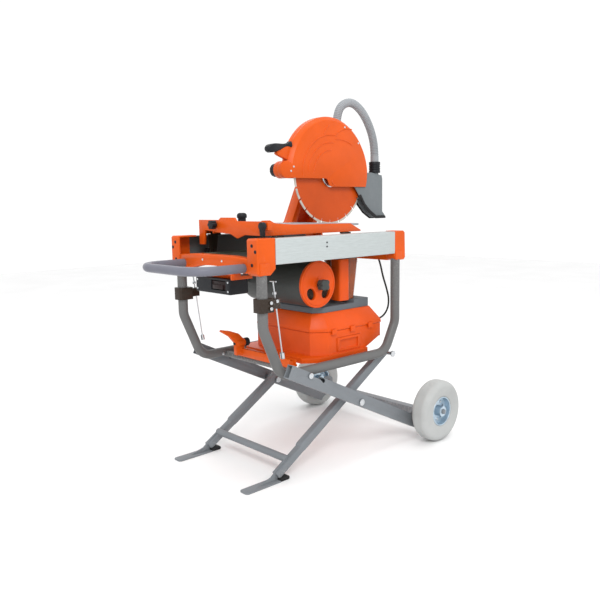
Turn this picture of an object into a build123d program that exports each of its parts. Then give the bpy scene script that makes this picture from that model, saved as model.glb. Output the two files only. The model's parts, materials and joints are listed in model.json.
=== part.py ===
from build123d import *
import math
import os

# Dry-cutting masonry table saw on a folding scissor stand, in millimetres.
# +Z is up, +X points to the wheels at the rear, -Y is the near (operator's right) side.
# The origin is on the ground under the centre of the machine.

os.makedirs("parts", exist_ok=True)

# ---- driving dimensions -------------------------------------------------------------------
# side rails and the two bent tubes that carry them
RAIL_OUT, RAIL_IN = 268.0, 218.0          # outer and inner face of a rail, from the centre plane
RAIL_X0, RAIL_X1 = -326.5, 314.6          # front and rear end of the silver rails
RAIL_Z0, RAIL_Z1 = 804.0, 894.0
RAIL_WALL = 4.0
CAP_FRONT_X, CAP_REAR_X = -408.0, 382.5   # outer ends of the orange rail caps
CAP_WALL = 5.0
TUBE_R, TUBE_BORE_R = 19.0, 16.0
TUBE_Y = 249.0
TUBE_PATH = [(-377, 806), (-377, 582), (-298, 398), (272, 398), (338, 520), (338, 806)]
TUBE_BEND_R = 70.0
GAP = 0.3                                 # clearance round curved faces within one body

# scissor stand
LEG_Y, LEG_T = 216.0, 26.0                # legs: centre plane and thickness
ARM_Y0, ARM_Y1, ARM_H = 272.0, 300.0, 50.0
PIVOT_A = (298.0, 389.0)                  # leg pivot on the cradle, (X, Z)
PIVOT_B = (71.0, 236.0)                   # scissor bolt
PIN_P = (-201.3, 393.9)                   # cradle pin that rides in the slot of the wheel arm
ARM_ANGLE = math.atan(0.49)               # slope of the wheel arms, in radians
LEG_ANGLE = math.atan(0.607)
FOLD_MAX = math.radians(22.0)             # travel of the legs about pivot A
FOLD_RATIO = -1.7473                      # wheel arms' turn for each turn of the legs
BOLT_R = 8.0
PIN_R = 6.0
BORE_R = BOLT_R + 0.05                    # running fit on the pivots

# wheels
AXLE_X, AXLE_Z, AXLE_R = 471.0, 130.0, 10.0
WHEEL_R, WHEEL_W, WHEEL_Y = 130.0, 80.0, 367.0
RIM_R, HUB_R = 62.0, 22.0

# table
TABLE_X0, TABLE_X1 = -327.0, 181.0
TABLE_Y0, TABLE_Y1 = -200.0, 190.0
DECK_Z, DECK_T = 932.0, 8.0
SKIRT_T = 6.0
ROLLER_R, ROLLER_L = 16.0, 22.0
ROLLER_Z = RAIL_Z0 + RAIL_WALL + ROLLER_R + 0.3
ROLLER_X = (-255.0, 95.0)

# cutting head
BLADE_X, BLADE_Y, BLADE_Z, BLADE_R, BLADE_T = 270.0, 60.0, 1131.0, 209.5, 3.0
GUARD_Y0, GUARD_Y1, GUARD_WALL = 36.0, 84.0, 3.0
GUARD_C, GUARD_R = (259.0, 1131.0), 246.0
STOP_C, STOP_R = (5.0, 1150.0), 35.0      # round boss of the depth lock on the guard
HEAD_PIVOT = (480.0, 1190.0)
HEAD_PIN_R = 12.0
COLUMN_Y0, COLUMN_Y1 = 206.0, 262.0
MOTOR_C, MOTOR_R = (290.0, 1241.0), 58.0
BELT_Y0, BELT_Y1 = 172.0, 184.0
ARBOR_PULLEY_R, MOTOR_PULLEY_R = 30.0, 20.0

# dust tub, canister and cyclone
CAN_X, CAN_Z, CAN_R = -50.0, 705.0, 88.0
CAN_Y0, CAN_Y1 = -192.0, 170.0
LID_Z0, LID_Z1 = 586.0, 608.0


# ---- helpers ------------------------------------------------------------------------------
def side(y):
    """Sketch plane facing the near side: sketch x is X, sketch y is Z; extrude goes to -Y."""
    return Plane.XZ.offset(-y)


def front(x):
    """Sketch plane across the machine: sketch x is Y, sketch y is Z; extrude goes to +X."""
    return Plane.YZ.offset(x)


def level(z):
    """Horizontal sketch plane at height z; extrude goes up."""
    return Plane.XY.offset(z)


def save(name, *shapes):
    """Label a finished piece, or a group of pieces of one kind, and write it as one STEP file."""
    solids = [solid for shape in shapes for solid in shape.solids()]
    piece = solids[0] if len(solids) == 1 else Compound(children=solids)
    piece.label = name
    export_step(piece, f"parts/{name}.step")


def box_mm(x0, x1, y0, y1, z0, z1, mode=Mode.ADD):
    """A block between two corners, used inside a BuildPart block."""
    with Locations(((x0 + x1) / 2, (y0 + y1) / 2, (z0 + z1) / 2)):
        Box(x1 - x0, y1 - y0, z1 - z0, mode=mode)


def rod_y(x, z, y0, y1, radius, mode=Mode.ADD):
    """A round bar along Y, used inside a BuildPart block."""
    with Locations(Location((x, (y0 + y1) / 2, z), (90, 0, 0))):
        Cylinder(radius, y1 - y0, mode=mode)


def rod_x(y, z, x0, x1, radius, mode=Mode.ADD):
    """A round bar along X, used inside a BuildPart block."""
    with Locations(Location(((x0 + x1) / 2, y, z), (0, 90, 0))):
        Cylinder(radius, x1 - x0, mode=mode)


def rod_z(x, y, z0, z1, radius, mode=Mode.ADD):
    """An upright round bar, used inside a BuildPart block."""
    with Locations((x, y, (z0 + z1) / 2)):
        Cylinder(radius, z1 - z0, mode=mode)


def profile(y_far, thickness, points, mode=Mode.ADD):
    """A plate with a polygonal side view, used inside a BuildPart block."""
    with BuildSketch(side(y_far)) as outline:
        Polygon(*points, align=None)
    extrude(outline.sketch, amount=thickness, mode=mode)


# ---- cradle: two bent tubes, cross bars ---------------------------------------------------
def cradle_tube(y):
    with BuildPart() as tube:
        with BuildLine(side(y)):
            FilletPolyline(*TUBE_PATH, radius=TUBE_BEND_R)
        with BuildSketch(Plane(origin=(TUBE_PATH[0][0], y, TUBE_PATH[0][1]), z_dir=(0, 0, -1))):
            Circle(TUBE_R)
            Circle(TUBE_BORE_R, mode=Mode.SUBTRACT)
        sweep()
        # holes for the leg pivot, which passes through the lower rear bend
        rod_y(*PIVOT_A, y - 30, y + 30, BOLT_R + GAP, mode=Mode.SUBTRACT)
        rod_y(*PIN_P, y - 30, y + 30, PIN_R + GAP, mode=Mode.SUBTRACT)
    return tube.part


CROSS_BAR_R, CROSS_BAR_Z = 13.0, 390.0
with BuildPart() as cradle_cross_bars:
    for bar_x in (-178.0, 90.0):
        rod_y(bar_x, CROSS_BAR_Z, -TUBE_Y + 8, TUBE_Y - 8, CROSS_BAR_R)
    for y in (-TUBE_Y, TUBE_Y):
        rod_x(y, 398, -260, 260, TUBE_R + 0.1, mode=Mode.SUBTRACT)
save("cradle_frame", cradle_tube(-TUBE_Y), cradle_tube(TUBE_Y), cradle_cross_bars.part)

# ---- side rails and their orange caps -----------------------------------------------------
def side_rail(sign):
    """C-section rail, open to the inside, in which the table's rollers run."""
    with BuildPart() as rail:
        with BuildSketch(front(RAIL_X0)):
            with Locations((sign * (RAIL_OUT + RAIL_IN) / 2, (RAIL_Z0 + RAIL_Z1) / 2)):
                Rectangle(RAIL_OUT - RAIL_IN, RAIL_Z1 - RAIL_Z0)
            with Locations((sign * (RAIL_OUT + RAIL_IN - 2 * RAIL_WALL) / 2,
                            (RAIL_Z0 + RAIL_Z1) / 2)):
                Rectangle(RAIL_OUT - RAIL_IN, RAIL_Z1 - RAIL_Z0 - 2 * RAIL_WALL, mode=Mode.SUBTRACT)
        extrude(amount=RAIL_X1 - RAIL_X0)
        outer = rail.faces().sort_by(Axis.Y)[0 if sign < 0 else -1]
        fillet(outer.edges().filter_by(Axis.X), 3)
    return rail.part


save("side_rails", side_rail(-1), side_rail(1))


def front_cap(sign):
    """Moulded cap on the rail's front end: closed in front, open to the inside, with a socket
    for the bent tube below."""
    low = 769.0
    outline = [(CAP_FRONT_X, low + 8), (CAP_FRONT_X + 10, low), (-350, low), (RAIL_X0, 790),
               (RAIL_X0, 896), (CAP_FRONT_X + 6, 896), (CAP_FRONT_X, 890)]
    y_far = RAIL_OUT if sign > 0 else -RAIL_IN + 6
    with BuildPart() as cap:
        profile(y_far, RAIL_OUT - RAIL_IN + 6, outline)
        outer = cap.faces().filter_by(Axis.Y).sort_by(Axis.Y)[-1 if sign > 0 else 0]
        fillet(outer.edges(), 5)
        # pocket that leaves walls in front, above and outside
        y_out = sign * (RAIL_OUT - CAP_WALL)
        y_in = sign * (RAIL_IN - 20)
        box_mm(CAP_FRONT_X + CAP_WALL, RAIL_X0 + 1, min(y_in, y_out), max(y_in, y_out),
               812, 890, mode=Mode.SUBTRACT)
        rod_z(TUBE_PATH[0][0], sign * TUBE_Y, low - 5, TUBE_PATH[0][1], TUBE_R + GAP,
              mode=Mode.SUBTRACT)
    return cap.part


def rear_cap(sign):
    low = 776.0
    outline = [(RAIL_X1, low + 16), (RAIL_X1 + 6, low + 4), (330, low), (CAP_REAR_X - 8, low),
               (CAP_REAR_X, low + 10), (CAP_REAR_X - 3, 888), (CAP_REAR_X - 12, 896), (RAIL_X1, 896)]
    y_far = RAIL_OUT if sign > 0 else -RAIL_IN
    with BuildPart() as cap:
        profile(y_far, RAIL_OUT - RAIL_IN, outline)
        outer = cap.faces().filter_by(Axis.Y).sort_by(Axis.Y)[-1 if sign > 0 else 0]
        fillet(outer.edges(), 5)
        y_out = sign * (RAIL_OUT - CAP_WALL)
        y_in = sign * (RAIL_IN - 20)
        box_mm(RAIL_X1 - 1, CAP_REAR_X - 12, min(y_in, y_out), max(y_in, y_out), 812, 890,
               mode=Mode.SUBTRACT)
        rod_z(TUBE_PATH[-1][0], sign * TUBE_Y, low - 5, TUBE_PATH[-1][1], TUBE_R + GAP,
              mode=Mode.SUBTRACT)
    return cap.part


save("rail_caps", front_cap(-1), front_cap(1), rear_cap(-1), rear_cap(1))

# ---- cross members, pan and push handle ---------------------------------------------------
HANDLE_R, HANDLE_Y, HANDLE_Z = 16.0, 187.0, 793.0
HANDLE_X0, HANDLE_X1 = -620.0, -392.0
BEAM_X0, BEAM_X1 = -405.0, -368.0
BEAM_Y = RAIL_IN - 6.0
with BuildPart() as front_cross_member:
    with BuildSketch(front(BEAM_X0)):
        with BuildLine():
            Polyline((BEAM_Y, 775), (BEAM_Y, 826), (110, 832), (-110, 832), (-BEAM_Y, 826),
                     (-BEAM_Y, 775))
            Line((-BEAM_Y, 775), (-150, 775))
            ThreePointArc((-150, 775), (0, 793), (150, 775))
            Line((150, 775), (BEAM_Y, 775))
        make_face()
    extrude(amount=BEAM_X1 - BEAM_X0)
    front_edges = front_cross_member.faces().sort_by(Axis.X)[0].edges().filter_by(Axis.Y)
    chamfer(front_edges, 3)
    for y in (-HANDLE_Y, HANDLE_Y):
        rod_x(y, HANDLE_Z, BEAM_X0 - 1, HANDLE_X1, HANDLE_R + GAP, mode=Mode.SUBTRACT)

with BuildPart() as push_handle:
    corner_x = HANDLE_X0 + HANDLE_R
    with BuildLine(level(HANDLE_Z)):
        FilletPolyline((HANDLE_X1, HANDLE_Y), (corner_x, HANDLE_Y), (corner_x, -HANDLE_Y),
                       (HANDLE_X1, -HANDLE_Y), radius=92)
    with BuildSketch(Plane(origin=(HANDLE_X1, HANDLE_Y, HANDLE_Z), z_dir=(-1, 0, 0))):
        Circle(HANDLE_R)
        Circle(HANDLE_R - 2.5, mode=Mode.SUBTRACT)
    sweep()
save("push_handle", push_handle.part)

with BuildPart() as rear_cross_member:
    box_mm(322, 358, -RAIL_IN + 0.5, RAIL_IN - 0.5, 774, 805.8)
    chamfer(rear_cross_member.edges().filter_by(Axis.Y), 3)

with BuildPart() as dust_pan:
    with BuildSketch(front(-366)):
        Polygon((-186, 826), (-186, 816), (-60, 806), (60, 806), (186, 816), (186, 826),
                (183, 826), (183, 819), (60, 809), (-60, 809), (-183, 819), (-183, 826), align=None)
    extrude(amount=680)
save("dust_pan", dust_pan.part)

# ---- column on the far rail, and the pin that the head tilts on ---------------------------
COLUMN = [(150, 894.5), (312, 894.5), (352, 960), (527, 1172), (525, 1212), (492, 1237),
          (440, 1228), (262, 1119), (177, 935), (150, 916)]
COLUMN_WEB = [(206, 928), (300, 928), (332, 972), (470, 1142), (418, 1180), (282, 1096)]
with BuildPart() as column:
    profile(COLUMN_Y1, COLUMN_Y1 - COLUMN_Y0, COLUMN)
    # the casting is a C section: a deep pocket on the near face leaves a web on the far side
    profile(COLUMN_Y1 - 10, COLUMN_Y1 - COLUMN_Y0, COLUMN_WEB, mode=Mode.SUBTRACT)
    rod_y(*HEAD_PIVOT, COLUMN_Y0 - 1, COLUMN_Y1 + 1, HEAD_PIN_R + GAP, mode=Mode.SUBTRACT)
    fillet(column.edges().filter_by(Axis.Y).group_by(Axis.Z)[-1], 6)
save("column", column.part)

with BuildPart() as head_pivot_pin:
    rod_y(*HEAD_PIVOT, 88, COLUMN_Y1 + 6, HEAD_PIN_R)
    rod_y(*HEAD_PIVOT, COLUMN_Y1 + 0.2, COLUMN_Y1 + 12, 21)
    rod_y(*HEAD_PIVOT, 84, 88.2, 17)
save("head_pivot_pin", head_pivot_pin.part)

# ---- head arm: one casting with the arbor housing, motor flange and pivot boss -------------
ARM_PLATE_Y0, ARM_PLATE_Y1 = 92.0, 104.0
HOUSING_R, BEARING_OUT, ARBOR_R = 30.0, 21.0, 10.0
with BuildPart() as head_arm:
    with BuildSketch(side(ARM_PLATE_Y1)):
        with Locations((BLADE_X, BLADE_Z)):
            Circle(HOUSING_R + 8)
        with Locations(MOTOR_C):
            Circle(MOTOR_R + 6)
        with Locations(HEAD_PIVOT):
            Circle(38)
        make_hull()
    extrude(amount=ARM_PLATE_Y1 - ARM_PLATE_Y0)
    rod_y(BLADE_X, BLADE_Z, ARM_PLATE_Y1, 160, HOUSING_R)
    rod_y(*HEAD_PIVOT, ARM_PLATE_Y1, COLUMN_Y0 - 4, 30)
    # bearing seats, arbor clearance, motor spigot and pivot bore
    rod_y(BLADE_X, BLADE_Z, 90, 162, 14, mode=Mode.SUBTRACT)
    rod_y(BLADE_X, BLADE_Z, 90, 108, BEARING_OUT + 0.1, mode=Mode.SUBTRACT)
    rod_y(BLADE_X, BLADE_Z, 144, 162, BEARING_OUT + 0.1, mode=Mode.SUBTRACT)
    rod_y(*MOTOR_C, 90, 106, 24, mode=Mode.SUBTRACT)
    rod_y(*HEAD_PIVOT, 90, COLUMN_Y0, HEAD_PIN_R + 0.05, mode=Mode.SUBTRACT)
save("head_arm", head_arm.part)

with BuildPart() as arbor_bearings:
    for y in (94.0, 146.0):
        rod_y(BLADE_X, BLADE_Z, y, y + 14, BEARING_OUT)
        rod_y(BLADE_X, BLADE_Z, y - 1, y + 15, ARBOR_R + 0.05, mode=Mode.SUBTRACT)
save("arbor_bearings", arbor_bearings.part)

FLANGE_R, BLADE_BORE_R = 50.0, 12.7
with BuildPart() as arbor:
    rod_y(BLADE_X, BLADE_Z, 44, 188, ARBOR_R)
    rod_y(BLADE_X, BLADE_Z, BLADE_Y + BLADE_T / 2, 70, FLANGE_R)
    rod_y(BLADE_X, BLADE_Z, 70, 92, 16)
    rod_y(BLADE_X, BLADE_Z, BLADE_Y - BLADE_T / 2, BLADE_Y + BLADE_T / 2, BLADE_BORE_R - 0.1)

with BuildPart() as blade_clamp_flange:
    rod_y(BLADE_X, BLADE_Z, 52, BLADE_Y - BLADE_T / 2, FLANGE_R)
    rod_y(BLADE_X, BLADE_Z, 51, BLADE_Y, ARBOR_R + 0.1, mode=Mode.SUBTRACT)
    chamfer(blade_clamp_flange.faces().sort_by(Axis.Y)[0].edges().sort_by(SortBy.LENGTH)[-1], 3)

with BuildPart() as blade_nut:
    with BuildSketch(side(52)):
        with Locations((BLADE_X, BLADE_Z)):
            RegularPolygon(17, 6)
            Circle(ARBOR_R + 0.1, mode=Mode.SUBTRACT)
    extrude(amount=8)

# ---- diamond blade: steel core with gullets, and the cutting segments on its rim -----------
SEGMENTS, SEGMENT_H = 24, 9.0
CORE_R = BLADE_R - SEGMENT_H


def blade_plane(y):
    """Sketch plane centred on the blade's axis."""
    return Plane(origin=(BLADE_X, y, BLADE_Z), x_dir=(1, 0, 0), z_dir=(0, -1, 0))


with BuildPart() as blade_core:
    with BuildSketch(blade_plane(BLADE_Y + BLADE_T / 2 - 0.3)):
        Circle(CORE_R)
        Circle(BLADE_BORE_R, mode=Mode.SUBTRACT)
        with PolarLocations(CORE_R - 5, SEGMENTS):
            SlotOverall(14, 3.2, mode=Mode.SUBTRACT)
    extrude(amount=BLADE_T - 0.6)
save("blade_core", blade_core.part)

with BuildPart() as blade_segments:
    with BuildSketch(blade_plane(BLADE_Y + BLADE_T / 2)):
        Circle(BLADE_R)
        Circle(CORE_R, mode=Mode.SUBTRACT)
        with PolarLocations(CORE_R + SEGMENT_H / 2, SEGMENTS):
            Rectangle(SEGMENT_H * 2.4, 8.4, mode=Mode.SUBTRACT)
    extrude(amount=BLADE_T)
save("blade_segments", blade_segments.part)

# ---- motor, belt drive and its cover ------------------------------------------------------
ROTOR_R = 10.0
with BuildPart() as motor:
    rod_y(*MOTOR_C, ARM_PLATE_Y1, 164, MOTOR_R)
    rod_y(*MOTOR_C, 96, ARM_PLATE_Y1, 23.8)
    for groove_y in range(114, 160, 8):
        rod_y(*MOTOR_C, groove_y, groove_y + 3, MOTOR_R + 1, mode=Mode.SUBTRACT)
        rod_y(*MOTOR_C, groove_y, groove_y + 3, MOTOR_R - 4)
    rod_y(*MOTOR_C, 94, 166, ROTOR_R + 0.1, mode=Mode.SUBTRACT)

with BuildPart() as motor_rotor:
    rod_y(*MOTOR_C, 98, 188, ROTOR_R)
    rod_y(*MOTOR_C, BELT_Y0 - 1, BELT_Y1 + 1, MOTOR_PULLEY_R)
save("motor_rotor", motor_rotor.part)

with BuildPart() as arbor_pulley:
    rod_y(BLADE_X, BLADE_Z, BELT_Y0 - 1, BELT_Y1 + 1, ARBOR_PULLEY_R)
    rod_y(BLADE_X, BLADE_Z, BELT_Y0 - 2, BELT_Y1 + 2, ARBOR_R + 0.1, mode=Mode.SUBTRACT)
save("arbor_assembly", arbor.part, blade_clamp_flange.part, blade_nut.part, arbor_pulley.part)

BELT_T = 4.0
with BuildPart() as drive_belt:
    with BuildSketch(side(BELT_Y1)):
        with Locations((BLADE_X, BLADE_Z)):
            Circle(ARBOR_PULLEY_R + GAP + BELT_T)
        with Locations(MOTOR_C):
            Circle(MOTOR_PULLEY_R + GAP + BELT_T)
        make_hull()
    extrude(amount=BELT_Y1 - BELT_Y0)
    with BuildSketch(side(BELT_Y1)):
        with Locations((BLADE_X, BLADE_Z)):
            Circle(ARBOR_PULLEY_R + GAP)
        with Locations(MOTOR_C):
            Circle(MOTOR_PULLEY_R + GAP)
        make_hull()
    extrude(amount=BELT_Y1 - BELT_Y0, mode=Mode.SUBTRACT)
save("drive_belt", drive_belt.part)

COVER_Y0, COVER_Y1, COVER_WALL = 166.0, 200.0, 3.0
with BuildPart() as belt_cover:
    with BuildSketch(side(COVER_Y1)):
        with Locations((BLADE_X, BLADE_Z)):
            Circle(ARBOR_PULLEY_R + 14)
        with Locations(MOTOR_C):
            Circle(MOTOR_PULLEY_R + 16)
        make_hull()
    extrude(amount=COVER_Y1 - COVER_Y0)
    fillet(belt_cover.faces().sort_by(Axis.Y)[-1].edges(), 4)
    with BuildSketch(side(COVER_Y1 - COVER_WALL)):
        with Locations((BLADE_X, BLADE_Z)):
            Circle(ARBOR_PULLEY_R + 11)
        with Locations(MOTOR_C):
            Circle(MOTOR_PULLEY_R + 13)
        make_hull()
    extrude(amount=COVER_Y1 - COVER_Y0 - COVER_WALL, mode=Mode.SUBTRACT)
save("motor_and_belt_cover", motor.part, belt_cover.part)

# ---- blade guard: two pressed shells that meet behind the blade's plane --------------------
GUARD_SPLIT = 62.0
GUARD_BEVEL = 16.0                        # between the flat side and the round rim


def guard_outline(inset):
    """Closed side outline of the guard, drawn inset from its outer skin."""
    cx, cz = GUARD_C
    r = GUARD_R - inset
    low_l, low_r = 1117.0 + inset, 1083.0 + inset
    x_l = cx - math.sqrt(r * r - (low_l - cz) ** 2)
    x_r = cx + r * math.cos(math.radians(37))
    z_r = cz + r * math.sin(math.radians(37))
    Line((x_l, low_l), (225, low_l))
    Bezier((225, low_l), (240, low_l), (236 + inset, low_r), (262, low_r))
    Line((262, low_r), (478 - inset, low_r))
    RadiusArc((478 - inset, low_r), (x_r, z_r), -260)
    ThreePointArc((x_r, z_r), (cx + r * math.cos(math.radians(100)),
                               cz + r * math.sin(math.radians(100))), (x_l, low_l))


with BuildPart() as near_hollow:
    with BuildSketch(side(GUARD_SPLIT)):
        with BuildLine():
            guard_outline(GUARD_WALL)
        make_face()
    extrude(amount=GUARD_SPLIT - GUARD_Y0 - GUARD_WALL)
    hollow_edge = near_hollow.faces().sort_by(Axis.Y)[0].edges().sort_by(SortBy.LENGTH)[-1]
    chamfer(hollow_edge, GUARD_BEVEL - 1.5)

with BuildPart() as guard_near:
    with BuildSketch(side(GUARD_SPLIT)):
        with BuildLine():
            guard_outline(0)
        make_face()
        with Locations(STOP_C):
            Circle(STOP_R)
    extrude(amount=GUARD_SPLIT - GUARD_Y0)
    bevel_edge = guard_near.faces().sort_by(Axis.Y)[0].edges().sort_by(SortBy.LENGTH)[-1]
    chamfer(bevel_edge, GUARD_BEVEL)
    add(near_hollow.part, mode=Mode.SUBTRACT)
    # the guard is open below, where the blade comes out, and behind, where the boot tucks in
    box_mm(30, 452, GUARD_Y0 + GUARD_WALL, GUARD_SPLIT + 1, 1080, 1128, mode=Mode.SUBTRACT)
    box_mm(400, 500, GUARD_Y0 + GUARD_WALL, GUARD_SPLIT + 1, 1080, 1157, mode=Mode.SUBTRACT)
save("guard_near", guard_near.part)

with BuildPart() as guard_far:
    with BuildSketch(side(GUARD_Y1)):
        with BuildLine():
            guard_outline(0)
        make_face()
        with Locations(STOP_C):
            Circle(STOP_R)
    extrude(amount=GUARD_Y1 - GUARD_SPLIT)
    with BuildSketch(side(GUARD_Y1 - GUARD_WALL)):
        with BuildLine():
            guard_outline(GUARD_WALL)
        make_face()
    extrude(amount=GUARD_Y1 - GUARD_SPLIT - GUARD_WALL, mode=Mode.SUBTRACT)
    box_mm(30, 452, GUARD_SPLIT - 1, GUARD_Y1 - GUARD_WALL, 1080, 1128, mode=Mode.SUBTRACT)
    box_mm(400, 500, GUARD_SPLIT - 1, GUARD_Y1 - GUARD_WALL, 1080, 1157, mode=Mode.SUBTRACT)
    rod_y(BLADE_X, BLADE_Z, GUARD_Y1 - 5, GUARD_Y1 + 1, 24, mode=Mode.SUBTRACT)
    # spacer feet that carry the guard on the head arm
    for foot_x, foot_z in ((250, 1180), (330, 1190), (410, 1190)):
        rod_y(foot_x, foot_z, GUARD_Y1 - 1, ARM_PLATE_Y0, 10)

# ---- lift handle on the guard's front -----------------------------------------------------
with BuildPart() as handle_bracket:
    profile(BLADE_Y + 9, 18, [(-36, 1212), (-28, 1207), (18, 1190), (30, 1212), (48, 1246),
                              (46, 1252), (-30, 1236)])
    with BuildSketch(side(BLADE_Y + 9)):
        with BuildLine():
            guard_outline(0)
        make_face()
        with Locations(STOP_C):
            Circle(STOP_R)
    extrude(amount=18, mode=Mode.SUBTRACT)

GRIP_FRONT, GRIP_BACK = (-84.0, 1228.0), (44.0, 1252.0)
grip_tilt = math.degrees(math.atan2(GRIP_BACK[1] - GRIP_FRONT[1], GRIP_BACK[0] - GRIP_FRONT[0]))
grip_axis = (math.cos(math.radians(grip_tilt)), 0, math.sin(math.radians(grip_tilt)))
grip_start = Plane(origin=(GRIP_FRONT[0], BLADE_Y, GRIP_FRONT[1]), x_dir=(0, 1, 0),
                   z_dir=grip_axis)
with BuildPart() as handle_grip:
    for step, width, height in ((0, 22, 16), (6, 30, 24), (60, 32, 27), (126, 34, 26)):
        with BuildSketch(grip_start.offset(step)):
            RectangleRounded(width, height, 7.5)
    loft()
    # slot that fits over the bracket, and clearance to the guard behind it
    box_mm(-40, 60, BLADE_Y - 9.2, BLADE_Y + 9.2, 1190, 1237, mode=Mode.SUBTRACT)
    profile(BLADE_Y + 9.2, 18.4, [(-40, 1230), (-40, 1234.6), (60, 1255), (60, 1230)],
            mode=Mode.SUBTRACT)
    with BuildSketch(side(GUARD_Y1)):
        with BuildLine():
            guard_outline(-0.3)
        make_face()
    extrude(amount=GUARD_Y1 - GUARD_Y0, mode=Mode.SUBTRACT)
save("handle_grip", handle_grip.part)

with BuildPart() as depth_lock_knob:
    rod_y(*STOP_C, GUARD_Y1 + 0.3, GUARD_Y1 + 34, 27)
    fillet(depth_lock_knob.faces().sort_by(Axis.Y)[-1].edges(), 4)
    for turn in range(10):
        angle = math.radians(36 * turn)
        rod_y(STOP_C[0] + 28 * math.cos(angle), STOP_C[1] + 28 * math.sin(angle),
              GUARD_Y1 + 8, GUARD_Y1 + 35, 3.5, mode=Mode.SUBTRACT)
save("depth_lock_knob", depth_lock_knob.part)

# ---- dust boot behind the blade, with its rubber lip and hose coupling ---------------------
BOOT_Y0, BOOT_Y1, BOOT_WALL = 42.0, 78.0, 3.0
BOOT = [(408, 1086), (468, 1090), (472, 1140), (520, 1149), (596, 1137), (600, 1120), (600, 972),
        (616, 956), (616, 946), (552, 946), (508, 972), (470, 1008)]
BOOT_HOLLOW = [(380, 1060), (400, 1110), (460, 1160), (484, 1152), (488, 1140), (520, 1145),
               (592, 1133), (597, 1118), (597, 968), (606, 930), (540, 930), (440, 1000)]
COUPLING_X, COUPLING_Z0, COUPLING_Z1 = 566.0, 1148.0, 1198.0
COUPLING_R, HOSE_R = 26.0, 19.0
with BuildPart() as dust_boot:
    profile(BOOT_Y1, BOOT_Y1 - BOOT_Y0, BOOT)
    fillet(dust_boot.edges().filter_by(Axis.Y).group_by(Axis.X)[-1], 3)
    profile(BOOT_Y1 - BOOT_WALL, BOOT_Y1 - BOOT_Y0 - 2 * BOOT_WALL, BOOT_HOLLOW,
            mode=Mode.SUBTRACT)
    rod_z(COUPLING_X, BLADE_Y, 1128, 1160, 17.6, mode=Mode.ADD)
    rod_z(COUPLING_X, BLADE_Y, 1100, 1170, 15, mode=Mode.SUBTRACT)
save("dust_boot", dust_boot.part)

LIP = [(440, 1046), (449, 1050), (478, 1008), (514, 978), (556, 953), (616, 953), (620, 947),
       (620, 940), (550, 940), (504, 966), (466, 1002)]
with BuildPart() as boot_lip:
    for y in (BOOT_Y0 - 0.2, BOOT_Y1 + 4.2):
        profile(y, 4, LIP)
save("boot_lip", boot_lip.part)

with BuildPart() as hose_coupling:
    rod_z(COUPLING_X, BLADE_Y, COUPLING_Z0, COUPLING_Z1, COUPLING_R)
    for groove_z in (1160, 1170, 1180):
        rod_z(COUPLING_X, BLADE_Y, groove_z, groove_z + 3, COUPLING_R + 1, mode=Mode.SUBTRACT)
        rod_z(COUPLING_X, BLADE_Y, groove_z, groove_z + 3, COUPLING_R - 2)
    rod_z(COUPLING_X, BLADE_Y, COUPLING_Z0 - 1, 1161, 18, mode=Mode.SUBTRACT)
    rod_z(COUPLING_X, BLADE_Y, 1160, COUPLING_Z1 + 1, 15, mode=Mode.SUBTRACT)
save("hose_coupling", hose_coupling.part)

# port on the far shell of the guard where the hose ends, turned up and slightly forward
PORT = (366.0, 112.0, 1330.0)
PORT_DIR = (0.12, 0.0, 0.99)
with BuildPart() as hose_port:
    with BuildSketch(Plane(origin=PORT, z_dir=PORT_DIR)):
        Circle(24)
        Circle(16, mode=Mode.SUBTRACT)
    extrude(amount=26)
    with BuildSketch(level(1303)):
        with Locations((360, GUARD_Y1 + 24)):
            RectangleRounded(48, 47, 6)
    extrude(amount=31)
    with BuildSketch(Plane(origin=PORT, z_dir=PORT_DIR)):
        Circle(16)
    extrude(amount=-40, mode=Mode.SUBTRACT)
save("guard_far", guard_far.part, handle_bracket.part, hose_port.part)

# ---- cords: straight runs joined by arcs as large as the runs allow ------------------------
def cord_tube(name, points, radius):
    """A plain tube along the route; prints each arc's radius and checks the tube's volume."""
    route = [Vector(*p) for p in points]
    radii = []
    for before, corner, after in zip(route, route[1:], route[2:]):
        turn = math.radians((corner - before).get_angle(after - corner))
        shorter = min((corner - before).length, (after - corner).length)
        radii.append(0.45 * shorter / math.tan(turn / 2))
    with BuildPart() as tube:
        with BuildLine() as line:
            FilletPolyline(*route, radius=radii)
        with BuildSketch(Plane(origin=route[0], z_dir=route[1] - route[0])):
            Circle(radius)
        sweep()
    length = line.wire().length
    ratio = tube.part.volume / (math.pi * radius ** 2 * length)
    print(f"{name}: length {length:.1f} mm, volume ratio {ratio:.4f}, radii",
          [round(r, 1) for r in radii])
    save(name, tube.part)


port_mouth = Vector(*PORT) + Vector(*PORT_DIR).normalized() * 26.3
HOSE_ROUTE = [
    (COUPLING_X, BLADE_Y, COUPLING_Z1 + 0.2), (COUPLING_X, BLADE_Y, 1250), (559, 65, 1310),
    (538, 73, 1370), (502, 84, 1428), (450, 96, 1462), (398, 107, 1446), (374, 112, 1402),
    (port_mouth.X, port_mouth.Y, port_mouth.Z),
]
cord_tube("suction_hose", HOSE_ROUTE, HOSE_R)

# ---- sliding table ------------------------------------------------------------------------
SLOT_X0 = -24.0                           # blade slot runs from here to the table's rear edge
with BuildPart() as table_deck:
    box_mm(TABLE_X0 + 8, 176, TABLE_Y0 + SKIRT_T, TABLE_Y1 - SKIRT_T, DECK_Z - DECK_T, DECK_Z)
    box_mm(SLOT_X0, TABLE_X1, BLADE_Y - 5, BLADE_Y + 5, DECK_Z - DECK_T - 1, DECK_Z + 1,
           mode=Mode.SUBTRACT)
    # shallow grooves that let slurry and dust run off
    for y in range(-170, 171, 20):
        if abs(y - BLADE_Y) > 12:
            box_mm(TABLE_X0 + 40, 160, y - 1.5, y + 1.5, DECK_Z - 1.5, DECK_Z + 1,
                   mode=Mode.SUBTRACT)
save("table_deck", table_deck.part)

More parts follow.
